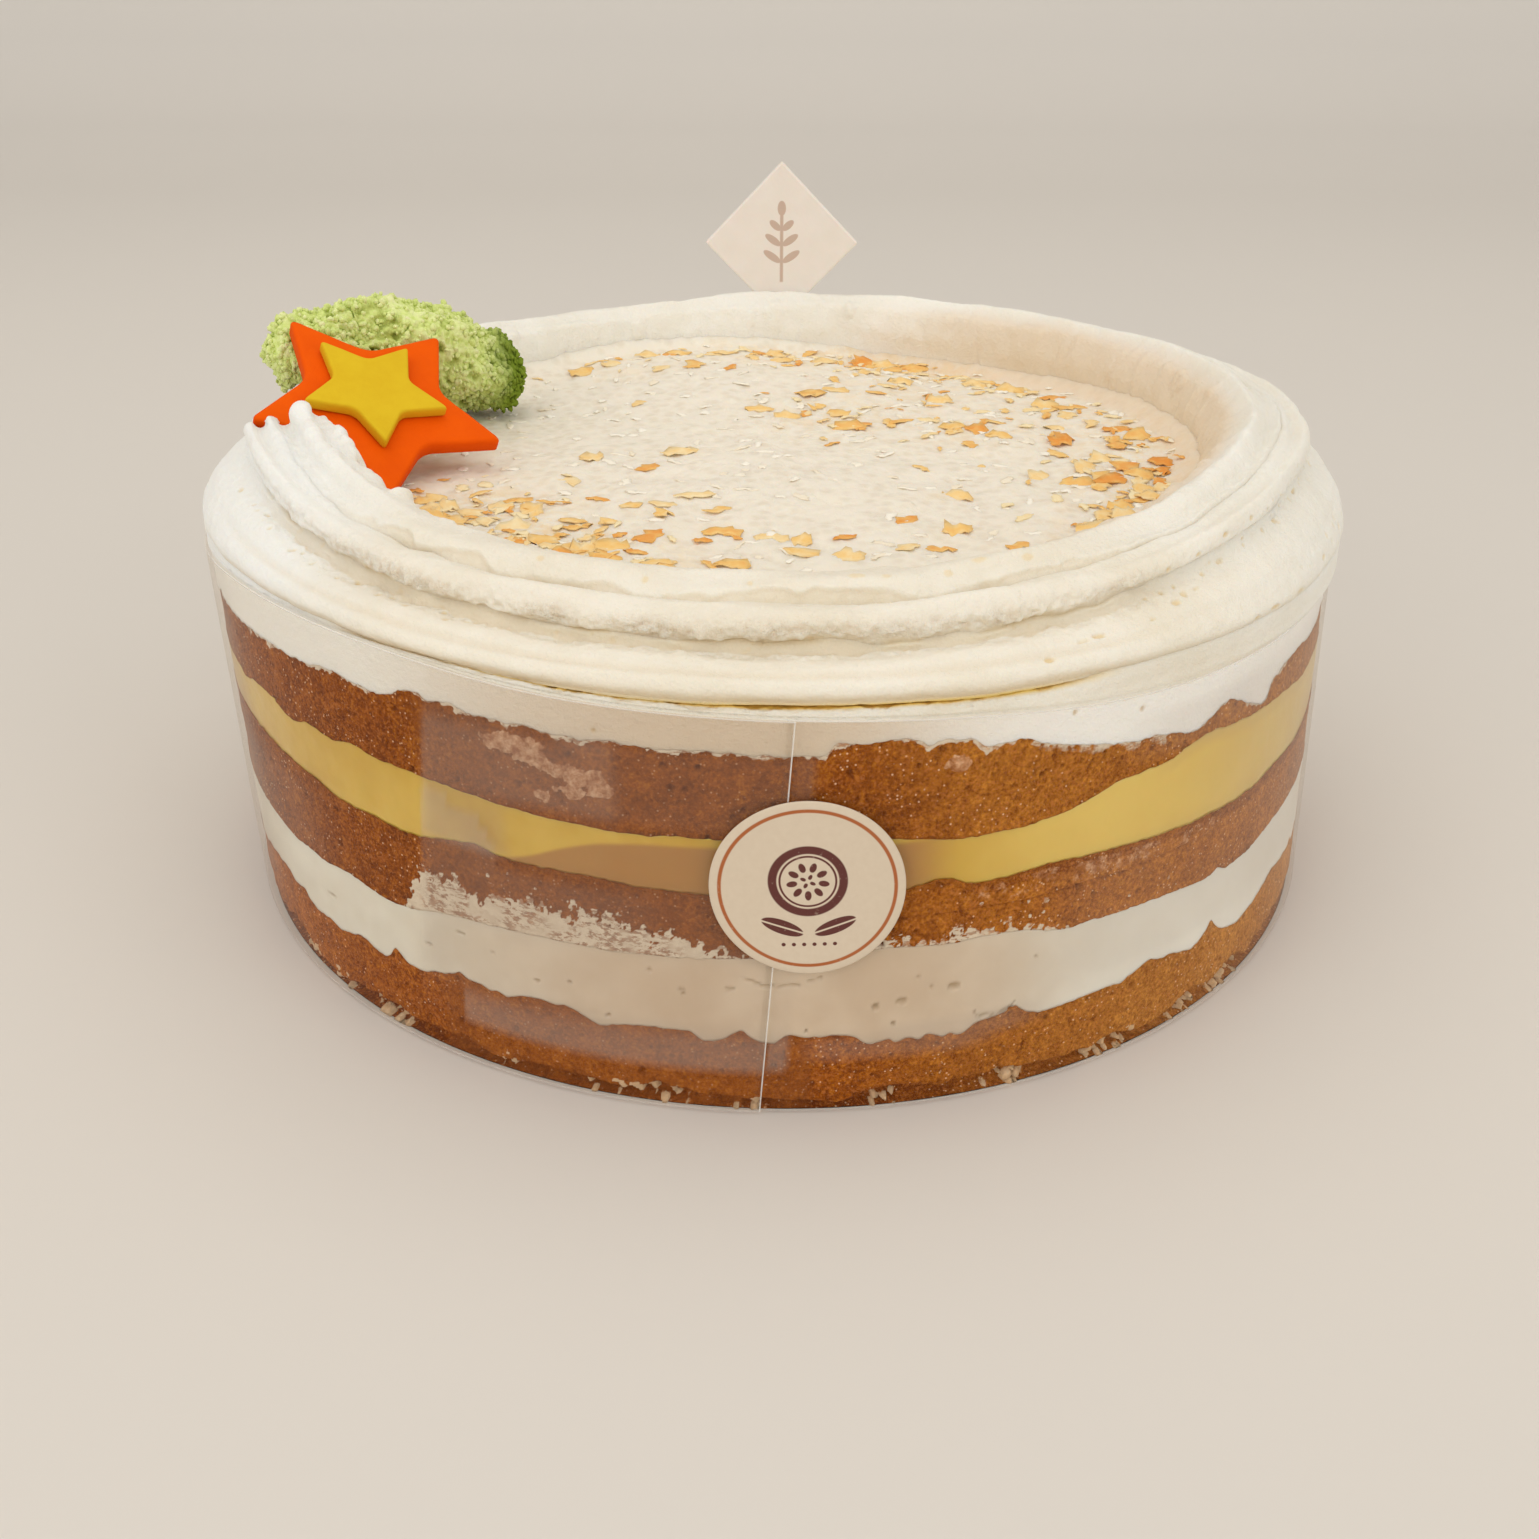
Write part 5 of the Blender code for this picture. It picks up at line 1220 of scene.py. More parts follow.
# Where the haze is cleared again, in the same terms, and the wet edge's line: height and azimuth by turns
CLEAR_BOXES = ((-28.0, 6.0, 2.0, 2.0, 14.0, 28.6, 0.8, 0.50), (-11.5, 3.2, 0.8, 1.0, 50.5, 66.5, 0.8, 0.35),
               (-10.0, 3.2, 2.0, 1.5, 30.5, 41.0, 1.0, 0.35), (-40.0, -27.5, 1.0, 0.2, 0.0, 16.3, 0.3, 0.85))
WET_EDGE = (40.0, -22.4, 42.5, -22.5, 44.2, -22.7, 46.6, -23.2, 48.5, -24.1, 49.4, -25.2, 50.4, -26.8, 52.2, -27.6)


def soft_box(azimuth, height, box):
    """1 inside a span of azimuth and height, falling off softly at each side."""
    left, right, soft_left, soft_right, low, high, soft, amount = box
    above = height * 1000 - SLANT_LEVEL
    start = azimuth - HAZE_SLANT * above * (left == HAZE_START)
    end = azimuth - END_SLANT * above * (abs(right - HAZE_END) < 0.3)
    return (amount * smooth(left - soft_left, left + soft_left, start)
            * smooth(right + soft_right, right - soft_right, end)
            * smooth(low - soft, low + soft, height * 1000) * smooth(high + soft, high - soft, height * 1000))


def film_haze(azimuth, height):
    """Dry haze between film and cake: soft patches, the sharpest beside the lap, cleared here and there."""
    azimuth = (azimuth + 90.0) % 360.0 - 90.0
    place = rim_place(azimuth, height)
    drift = 0.25 * noise(place, 0.018, 193)
    slope = 0.0001 * np.clip(azimuth, 0, 25)
    haze = sum(soft_box(azimuth + drift * (box[0] != HAZE_START), height - slope, box) for box in HAZE_BOXES)
    for box in CLEAR_BOXES:
        haze = haze * (1 - soft_box(azimuth + 2 * drift, height, box))
    edge = np.array(WET_EDGE).reshape(-1, 2)
    wet = smooth(-0.15, 0.15, azimuth - np.interp(height * 1000, edge[:, 0], edge[:, 1])) * smooth(3.2, 2.8, azimuth)
    wet = wet * smooth(40.2, 41.0, height * 1000) * smooth(52.4, 51.6, height * 1000)
    haze = haze * (1 - 0.55 * wet) * (1 - 0.5 * smooth(64, 66, height * 1000))
    return np.clip(haze * (0.94 + 0.12 * layered(place, 0.010, 3, 197)) + 0.004, 0, 1)


def film_collar(look):
    """The strip's four corner lines carried round the cake, rising outward by one lap.
    Only its outer face carries haze and gloss, so that they count once; near its cut edges both faces carry a painted
    highlight."""
    share = np.concatenate([[0.0, 0.0002], np.linspace(0.0004, 0.9996, 940), [0.9998, 1.0]])
    up = np.concatenate([[0.0, 0.004], np.linspace(0.01, 0.99, 34), [0.996, 1.0]])
    end = FILM_END_FOOT + (FILM_END_TOP - FILM_END_FOOT) * up[:, None]
    start = end - FILM_LAP
    azimuth = start + (360.0 + end - start) * share[None, :]
    top = around(FILM_TOP, azimuth)
    height = FILM_FOOT + (top - FILM_FOOT) * up[:, None]
    inner = FILM_RADIUS + FILM_RISE * share[None, :]
    wall = 0.00004 * noise(rim_place(azimuth, height), 0.018, 199)
    inside = lean(inner + wall + 0.00003, azimuth, height, TOP_TAPER)
    outside = lean(inner + wall + FILM_THICKNESS - 0.00008, azimuth, height, TOP_TAPER)
    rows = np.concatenate([outside, inside[::-1]])
    count, columns = rows.shape[:2]
    half = count // 2
    ring = grid_faces(count, columns, wrap_rows=True, wrap_columns=False).reshape(count, columns - 1, 4)
    rims = [ring[[half - 1, count - 1]].reshape(-1, 4)]
    for column in (0, columns - 1):
        r = np.arange(half - 1)
        end_cap = np.stack([r, r + 1, count - 2 - r, count - 1 - r], -1) * columns + column
        rims.append(end_cap if column else end_cap[:, ::-1])
    walls = np.delete(ring, [half - 1, count - 1], axis=0).reshape(-1, 4)
    haze = np.where(azimuth > end, film_haze(azimuth, height), 0.008)
    # Painted highlight along the film's edges, and a band under its top edge at the left.
    rim = (up[:, None] > 0.997) * 0.5 + (up[:, None] < 0.003) * 0.25 + (share[None, :] > 0.9997) * 0.5
    left = smooth(-20, -32, azimuth) * smooth(-62, -52, azimuth)
    rim = rim + 0.16 * bell(height * 1000, top * 1000 - 1.4, 0.5) * left
    haze = np.maximum(haze, np.minimum(rim, 0.6))
    outer = np.ones_like(haze)
    inner_haze = np.minimum(rim, 0.6) + 0 * haze
    return mesh_piece("film_strip", rows, [walls, np.concatenate(rims)], look, ["film_collar"],
                      {"haze": np.concatenate([haze, inner_haze[::-1]]),
                       "rim": np.concatenate([np.minimum(rim * 4, 1) + 0 * haze, np.ones_like(haze)]),
                       "outer": np.concatenate([outer, 0 * outer])}, (1,))


def label_look():
    """Matt printed paper: a thin ring near the edge and a halved passion fruit with leaves and dots.
    The print is worked out from u and v, which run from -1 to 1 across the label."""
    look = Look("label_print")
    u, v = look.kept("u"), look.kept("v")
    paper = look.blend(look.grain(900, 3, 0.6), tint(210, 191, 166), tint(219, 202, 178))
    reach = (u * u + v * v).math("SQRT")
    ring = (reach - 0.895).math("ABSOLUTE").step(0.026, 0.012)
    fruit_v = v - 0.10
    fruit = (u * u + fruit_v * fruit_v).math("SQRT")
    rind = (fruit - 0.36).math("ABSOLUTE").step(0.052, 0.036)
    pith = (fruit - 0.285).math("ABSOLUTE").step(0.016, 0.006)
    angle = look.number("ARCTAN2", u, fruit_v)
    spoke = (angle * (9 / math.tau)).math("FRACT") - 0.5
    seed_u, seed_v = spoke * fruit * (math.tau / 9), fruit - 0.165
    seeds = (seed_u * seed_u * 2.6 + seed_v * seed_v).math("SQRT").step(0.062, 0.048)
    core_spoke = (angle * (4 / math.tau) + 0.2).math("FRACT") - 0.5
    core_u, core_v = core_spoke * fruit * (math.tau / 4), fruit - 0.055
    core = (core_u * core_u * 2.2 + core_v * core_v).math("SQRT").step(0.036, 0.024)
    leaf_u = u.math("ABSOLUTE") - 0.27
    leaf_v = v + 0.43 - leaf_u * 0.35
    leaf = (leaf_u * leaf_u / 0.045 + leaf_v * leaf_v / 0.0075).step(1.08, 0.92)
    vein = leaf_v.math("ABSOLUTE").step(0.006, 0.014)
    dot_spoke = (u / 0.105).math("FRACT") - 0.5
    dot_v = v + 0.64
    dots = (dot_spoke * dot_spoke * 0.011 + dot_v * dot_v).math("SQRT").step(0.026, 0.017)
    dots = dots * u.math("ABSOLUTE").step(0.325, 0.305)
    print_mask = rind
    for mark in (pith, seeds, core, leaf * vein, dots):
        print_mask = print_mask.math("MAXIMUM", mark)
    worn = 1 - look.grain(1500, 2).step(0.62, 0.80) * 0.25
    base = look.blend(ring * worn, paper, (0.40, 0.105, 0.02))
    base = look.blend(print_mask * worn, base, (0.105, 0.018, 0.012))
    bump = look.relief(look.grain(1200, 2), 0.00004, 0.5)
    return look.finish(look.shader(base, 0.55, bump))


def label_piece(look):
    """A thin round disc bent round the film: rings of points from the middle out and back under."""
    across = np.linspace(0.0, math.tau, 128, endpoint=False)[None, :]
    radius = np.array([0.0006, 0.003, 0.006, 0.009, 0.0115, 0.0135, 0.0146, 0.0148, 0.0148, 0.0146,
                       0.012, 0.006, 0.0006])[:, None]
    depth = np.array([1, 1, 1, 1, 1, 1, 1, 0.75, 0.2, 0.05, 0.05, 0.05, 0.05])[:, None] * LABEL_THICKNESS
    seat = FILM_RADIUS + FILM_RISE + FILM_THICKNESS + GAP
    u, v = radius * np.sin(across), radius * np.cos(across)
    place = lean(seat + depth + 0 * u, LABEL_AZIMUTH + np.degrees(u / seat), LABEL_HEIGHT + v, TOP_TAPER)
    return turned_piece("label_disc", place, look, ["label"], {"u": u / LABEL_RADIUS, "v": v / LABEL_RADIUS})


# ---- the stars, the green sponge and the flakes ----

STAR_EDGE = 0.0007
BORDER_MIDDLE = 0.0876


def star_outline(radius, inner, count):
    """Ten rounded corners of a star, each a short arc, then evenly spaced points along them."""
    angle = np.pi * np.arange(10) / 5
    reach = np.where(np.arange(10) % 2 == 1, inner, radius)
    corner = np.stack([reach * np.cos(angle), reach * np.sin(angle)], -1)
    rounding = np.where(np.arange(10) % 2 == 1, HOLLOW_ROUNDING, TIP_ROUNDING)[:, None]
    start = corner + (np.roll(corner, 1, 0) - corner) * rounding
    end = corner + (np.roll(corner, -1, 0) - corner) * rounding
    t = np.linspace(0, 1, 9)[None, :, None]
    arc = start[:, None] * (1 - t) ** 2 + corner[:, None] * 2 * t * (1 - t) + end[:, None] * t * t
    line = np.concatenate([arc.reshape(-1, 2), arc[:1, 0]])
    length = np.concatenate([[0], np.cumsum(np.linalg.norm(np.diff(line, axis=0), axis=1))])
    at = np.linspace(0, length[-1], count, endpoint=False)
    return np.stack([np.interp(at, length, line[:, 0]), np.interp(at, length, line[:, 1])], -1)


def star_frame(shift, turn):
    """Frame whose Z is the star's normal and whose X points at its first tip."""
    up = STAR_NORMAL.normalized()
    along = (STAR_TIP - up * STAR_TIP.dot(up)).normalized()
    side = up.cross(along)
    turned = Matrix((along, side, up)).transposed().to_4x4()
    turned.translation = STAR_CENTRE + along * shift[0] + side * shift[1]
    return np.array(turned @ Matrix.Rotation(math.radians(turn), 4, "Z"))


def star_piece(name, radius, inner, low, high, shift, turn, look):
    """A star cut from rolled paste: its outline drawn in over a rounded top edge, with a slightly uneven face."""
    outline = star_outline(radius, inner, 420)
    inset = np.array([0.06, 0.3, 0.55, 0.75, 0.88, 0.94, 0.965, 0.985, 0.996, 1.0, 1.0, 1.0, 0.985, 0.9, 0.5, 0.06])
    drop = np.array([0, 0, 0, 0, 0, 0, 0.10, 0.35, 0.70, 1.0, 1.6, 2.4, 0, 0, 0, 0]) * STAR_EDGE
    height = high - drop
    height[12:] = low
    height[11] = low + 0.0002
    flat = outline[None] * inset[:, None, None]
    place = np.concatenate([flat, np.broadcast_to(height[:, None, None], flat.shape[:2] + (1,))], -1)
    face = (np.arange(16) < 8)[:, None]
    place[..., 2] += face * 0.00016 * layered(place, 0.006, 3, 211 + int(radius * 1000))
    # How far a point is onto the rounded edge and sides, which get painted shade.
    edge = np.broadcast_to(np.interp(np.arange(16), [5, 9, 12], [0, 1, 1])[:, None], flat.shape[:2])
    frame_of = star_frame(shift, turn)
    world = place @ frame_of[:3, :3].T + frame_of[:3, 3]
    return turned_piece(name + "_paste", world, look, [name], {"edge": edge})


def support(x, y):
    """Height of what lies under the green sponge: the border's crest line or the coconut floor."""
    radius = np.hypot(x - TOP_LEAN[0], y - TOP_LEAN[1])
    azimuth = np.degrees(np.arctan2(x - TOP_LEAN[0], -(y - TOP_LEAN[1])))
    crest = around(BORDER_CREST, azimuth) + 0.0006
    shift = radius - BORDER_MIDDLE - around(BORDER_LEAN, azimuth)
    inside = np.clip((shift + 0.0080) / 0.0045, 0, 1)
    outside = np.clip((0.0145 - shift) / 0.009, 0, 1)
    floor = floor_height(x, y) + 0.0004
    return floor + (crest - floor) * np.minimum(inside, outside)


def moss_piece(look):
    """A torn chunk of sponge: lumpy sections along its path, broken up by deep pores, with loose crumbs on it."""
    station = np.array(MOSS_PATH)
    rows, around_count = 230, 300
    at = np.linspace(0, len(station) - 1, rows)
    path = np.stack([np.interp(at, np.arange(len(station)), station[:, k]) for k in range(5)], axis=1)
    tip = np.sqrt(np.clip(np.minimum(at, at[-1] - at) / 0.28, 0.002, 1))[:, None]
    path[:, 3:] *= tip
    ahead = np.gradient(path[:, :3], axis=0)
    ahead /= np.linalg.norm(ahead, axis=1)[:, None]
    side = np.cross(ahead, (0.0, 0.0, 1.0))
    side /= np.linalg.norm(side, axis=1)[:, None]
    up = np.cross(side, ahead)
    angle = np.linspace(0, math.tau, around_count, endpoint=False)[None, :]
    row = at[:, None]
    lump = 0.97 + 0.13 * np.sin(3 * angle + 1.7 * row) + 0.09 * np.sin(5 * angle - 2.3 * row)
    wide = (np.cos(angle) * path[:, 3:4] * lump)[..., None]
    tall = (np.sin(angle) * path[:, 4:5] * lump)[..., None]
    place = path[:, None, :3] + side[:, None] * wide + up[:, None] * tall
    away = place - path[:, None, :3]
    away = away / np.maximum(np.linalg.norm(away, axis=-1, keepdims=True), 1e-9)
    crumb, own = cells(place, 0.0019, 223)
    fine = layered(place, 0.0012, 3, 225, 0.8)
    hole, hole_own = cells(place, 0.0034, 227)
    pore = smooth(0.40, 0.12, hole + 0.2 * fine) * (hole_own > 0.60)
    tuft = layered(place, 0.0046, 4, 229, 0.75)
    rough = 0.0008 * (0.42 - crumb) * (0.5 + own) + 0.0006 * fine + 0.0016 * tuft - 0.0013 * pore
    place = place + away * rough[..., None]
    place[..., 2] = np.maximum(place[..., 2], support(place[..., 0], place[..., 1]) + 0.0003)
    # How far the crumb stands out, for painted light on its bumps and painted shade in its hollows.
    height = np.clip(0.5 + rough / 0.0024, 0, 1)
    tip = smooth(4.3, 5.6, row + 0.5 * tuft) + 0 * height
    turned_piece("moss_crumb", place, look, ["moss_sponge"],
                 {"pore": pore, "height": height, "tip": tip})
    draw = np.random.default_rng(231)
    chosen = draw.integers(0, rows, 2200), draw.integers(0, around_count, 2200)
    upper = place[chosen][:, 2] > support(place[chosen][:, 0], place[chosen][:, 1]) + 0.0012
    chosen = chosen[0][upper], chosen[1][upper]
    size = draw.uniform(0.0003, 0.00075, upper.sum())
    values = {"pore": pore[chosen] * 0, "height": draw.uniform(0.35, 0.75, upper.sum()), "tip": tip[chosen]}
    blobs("moss_loose_crumbs", place[chosen] + away[chosen] * 0.0002, size, draw, look,
          ["moss_sponge"], values)


def blobs(name, place, size, draw, look, nodes, values):
    """Many small uneven crumbs at once: a turned, dented six-sided ball of 26 points round each place."""
    turn, tilt = np.meshgrid(np.arange(6) * math.tau / 6, np.radians([-60, -20, 20, 60]))
    ball = np.stack([np.cos(turn) * np.cos(tilt), np.sin(turn) * np.cos(tilt), np.sin(tilt)], -1).reshape(-1, 3)
    ball = np.concatenate([ball, [[0, 0, -1.0], [0, 0, 1.0]]])
    count = len(place)
    around_z = draw.uniform(0, math.tau, count)
    c, s = np.cos(around_z), np.sin(around_z)
    turned = np.zeros((count, 3, 3))
    turned[:, 0, 0], turned[:, 0, 1], turned[:, 1, 0], turned[:, 1, 1], turned[:, 2, 2] = c, -s, s, c, 1
    stretch = draw.uniform(0.7, 1.35, (count, 1, 3))
    dented = ball[None] * stretch * draw.uniform(0.7, 1.25, (count, len(ball), 1))
    points = place[:, None] + size[:, None, None] * np.einsum("nij,nkj->nki", turned, dented)
    faces = grid_faces(4, 6)
    at, after = np.arange(6), (np.arange(6) + 1) % 6
    low = np.stack([np.full(6, 24), after, at], -1)
    high = np.stack([np.full(6, 25), 18 + at, 18 + after], -1)
    every = len(ball) * np.arange(count)[:, None, None]
    groups = [(faces[None] + every).reshape(-1, 4), (np.concatenate([low, high])[None] + every).reshape(-1, 3)]
    kept = {key: np.repeat(np.asarray(value)[:, None], len(ball), axis=1) for key, value in values.items()}
    return mesh_piece(name, points, groups, look, nodes, kept)


def clear_of_toppings(x, y):
    """True where a flake touches neither the star, the green sponge nor the border."""
    if math.hypot(x - TOP_LEAN[0], y - TOP_LEAN[1]) > 0.0768:
        return False
    if math.hypot(x - STAR_CENTRE.x, y - STAR_CENTRE.y) < STAR_RADIUS + 0.0055:
        return False
    return all(math.hypot(x - p[0], y - p[1]) > p[3] + 0.0065 for p in MOSS_PATH)


def flake_places():
    """Flakes drawn patch by patch, no two closer than the spacing: x, y, heading, size, bow, tilt."""
    draw = random.Random(7)
    places = []
    for middle_x, middle_y, spread, count in FLAKE_PATCHES:
        wanted = len(places) + count
        for _ in range(FLAKE_ATTEMPTS):
            if len(places) >= wanted:
                break
            x = draw.gauss(middle_x, spread * 0.6)
            y = draw.gauss(middle_y, spread * 0.6)
            crowded = any(math.hypot(x - p[0], y - p[1]) < FLAKE_SPACING for p in places)
            if crowded or not clear_of_toppings(x, y):
                continue
            places.append((x, y, draw.uniform(0, math.tau), draw.uniform(0.75, 1.2),
                           draw.uniform(0.0006, 0.0014), draw.uniform(-0.18, 0.18)))
    return np.array(places)


# The flakes that stand out in the photo: x, y, heading in degrees, length, width in mm, and shade
FLAKE_SPOTS = (-64.5, -32.8, 30, 4.2, 2.8, 0.5, -62.8, -36.8, -10, 4.5, 3.0, 0.35, -60.8, -40.0, 40, 4.6, 3, 0.55,
               -60.0, -35.6, 10, 4.0, 2.6, 0.3, -57.6, -41.6, -30, 4.8, 3, 0.45, -62.4, -31.2, 60, 4.2, 2.8, 0.4,
               70.4, -22.6, 70, 4.5, 2.6, 0.85, 71.8, -17.2, 100, 4.2, 2.4, 0.9, 66.4, -28.3, 35, 5, 3, 0.4,
               60.2, -37.0, 15, 5, 3, 0.5, 66.4, -0.8, 110, 4.4, 2.8, 0.7, 49, -17.2, 30, 4.6, 2.8, 0.3,
               -55, -49, 20, 4.5, 3, 0.55, -50.8, -34.2, -15, 5, 3.4, 0.25, -40.3, -51, 70, 5.5, 4, 0.5,
               -37.3, -60, 5, 6, 4, 0.8, -28.5, -55.8, -10, 7, 3, 0.5, -29, -60.5, 60, 5, 4, 0.65,
               -33, -56.5, 10, 5.5, 3.5, 0.35, -10, -49.2, 8, 7, 3.4, 0.6, -8, -65.2, -4, 6.5, 3, 0.55,
               3.5, -53.5, -20, 4, 2.5, 0.45, 11.2, -60.3, -12, 5.5, 2.8, 0.35, -63.2, -39.3, -30, 5, 3, 0.5,
               -59, -45, 30, 5, 3, 0.65, -37, -8, 15, 5, 3.4, 0.35, -19.8, -5.8, 15, 7.5, 2.2, 0.3,
               -21, -41.2, 40, 3.6, 3, 0.5, -15.5, -33, 12, 8, 1.8, 0.25, -55.3, -53.5, -10, 5.5, 3, 0.45,
               -49.5, -58, 10, 5, 3, 0.4, -42.8, -59, 0, 5, 3, 0.3, -55.5, -37, 60, 5, 3.5, 0.3,
               -45, -36.5, -40, 6, 3.4, 0.4, -47, -44, 15, 6, 4, 0.2, -52, -42, 80, 5, 3, 0.25,
               -30, -44, 50, 3.5, 2.5, 0.4, -27, -36, -60, 3, 2.6, 0.45, 35.7, 12.2, 10, 6, 3.2, 0.5,
               40, 11, -15, 5, 3, 0.8, 44, 7.2, -10, 6, 3, 0.5, 56.3, 4, 20, 6, 4, 0.85, 55.5, -22, -30, 7, 4, 0.6,
               59, -27, 80, 5, 3, 0.5, 61.7, -23, 25, 7, 4, 0.85, 66, -14, 60, 7, 4, 0.75,
               67.2, -19, -20, 6, 4, 0.55, 71.5, 4, -15, 6, 3.6, 0.6, 73, -12, -60, 6, 2.6, 0.9,
               62, -8, 15, 5, 3, 0.3, 58, -14, 40, 6, 3.5, 0.35, 64, 14, 80, 6, 3, 0.35, 60.5, 22, 70, 6, 3, 0.35,
               52.8, -50, -35, 6, 3, 0.45, 30.2, -49, 10, 6, 3, 0.5, 32, -30.8, -10, 6, 2.8, 0.4,
               66.5, -33, -25, 6, 3, 0.4, 60, -42, 10, 5, 3, 0.3, 70, -26, 30, 5, 3, 0.3, 31.5, 69, 0, 7, 4, 0.6,
               24, 71, 10, 6, 3.5, 0.4, 19.7, 72, 40, 7, 5, 0.85, -2, 73, 0, 6, 3, 0.4, -46.8, 57, 0, 6, 4, 0.5,
               -40, 62, 10, 5, 3, 0.3, -25, 70, -10, 6, 3, 0.45, -32, 68, 0, 6, 3, 0.35, 6.2, 34.2, 0, 7, 3, 0.6,
               13.7, 12.5, 15, 7, 3, 0.6, 12, 20, -50, 6, 2.5, 0.5, -4.8, 22.7, 0, 6, 2.6, 0.45,
               1, 18, -10, 6, 2.5, 0.4, 8, 25, 60, 5, 2.5, 0.5, 26.7, 49.2, 0, 6, 3, 0.4, 34.2, 32.2, 0, 6, 3, 0.35,
               51.3, 45.5, 0, 7, 4, 0.4, 57, 30, 10, 6, 3.5, 0.4, 44, 52, -10, 6, 3, 0.35, 10, 66, 0, 6, 3, 0.35)


def flake_swarm(name, place, heading, size, bow, tilt, shade, look, nodes):
    """Many thin torn flakes at once: one small grid, whose width wanders along its length, curved in plan and
    bowed by each flake's own numbers. Rims are paler."""
    along, across = np.meshgrid(np.linspace(-0.5, 0.5, 7), np.linspace(-0.5, 0.5, 4), indexing="ij")
    along, across = along.ravel(), across.ravel()
    draw = np.random.default_rng(233)
    count = len(place)
    wide = np.repeat(draw.uniform(0.55, 1.15, (count, 7)), 4, axis=1) * (1 - 0.70 * np.abs(2 * along[None]) ** 4)
    shift = np.repeat(draw.normal(0, 0.10, (count, 7)), 4, axis=1)
    ragged = draw.normal(0, 0.07, (count, len(along), 2))
    u = along[None] + ragged[..., 0] * 0.6
    curve = draw.uniform(-0.7, 0.7, (count, 1)) * (along[None] ** 2)
    v = across[None] * wide + shift + ragged[..., 1] * wide + curve
    lift = bow[:, None] * (0.25 - u * u) * 2 + 0.25 * bow[:, None] * np.sin(v * 6 + u * 9)
    x, y = u * size[:, :1], v * size[:, 1:2]
    z = lift + y * np.sin(tilt)[:, None]
    turned_x = np.cos(heading)[:, None] * x - np.sin(heading)[:, None] * y
    turned_y = np.sin(heading)[:, None] * x + np.cos(heading)[:, None] * y
    upper = np.stack([turned_x, turned_y, z + size[:, 2:] / 2], -1) + place[:, None]
    lower = np.stack([turned_x, turned_y, z - size[:, 2:] / 2], -1) + place[:, None]
    points = np.concatenate([upper, lower], 1)
    grid = grid_faces(7, 4, wrap_columns=False)
    rim = np.concatenate([np.arange(0, 28, 4), np.arange(25, 28), np.arange(23, 0, -4), np.arange(2, 0, -1)])
    after = np.roll(rim, -1)
    every = 56 * np.arange(count)[:, None, None]
    sides = (np.concatenate([grid, grid[:, ::-1] + 28])[None] + every).reshape(-1, 4)
    rims = (np.stack([rim, after, after + 28, rim + 28], -1)[None] + every).reshape(-1, 4)
    at_rim = np.isin(np.arange(28), rim)
    own = np.tile(np.abs(along) * 0.35 - 0.20 * at_rim, 2)[None] + np.asarray(shade)[:, None]
    return mesh_piece(name, points, [sides, rims], look, nodes, {"shade": own}, (1,))


def scatter(count, seed, keep):
    """Even random places on the floor, kept where a rule allows them."""
    draw = np.random.default_rng(seed)
    radius = 0.0800 * np.sqrt(draw.uniform(0, 1, count))
    turn = draw.uniform(0, math.tau, count)
    x = radius * np.sin(turn) + TOP_LEAN[0]
    y = -radius * np.cos(turn) + TOP_LEAN[1]
    chosen = keep(x, y, draw.uniform(0, 1, count))
    return x[chosen], y[chosen], draw


def on_floor(x, y, lift):
    """Places just above the floor, a little higher near the border where it curves up."""
    radius = np.hypot(x - TOP_LEAN[0], y - TOP_LEAN[1])
    return np.stack([x, y, floor_height(x, y) + floor_lumps(x, y) + lift + border_fillet(radius)], -1)


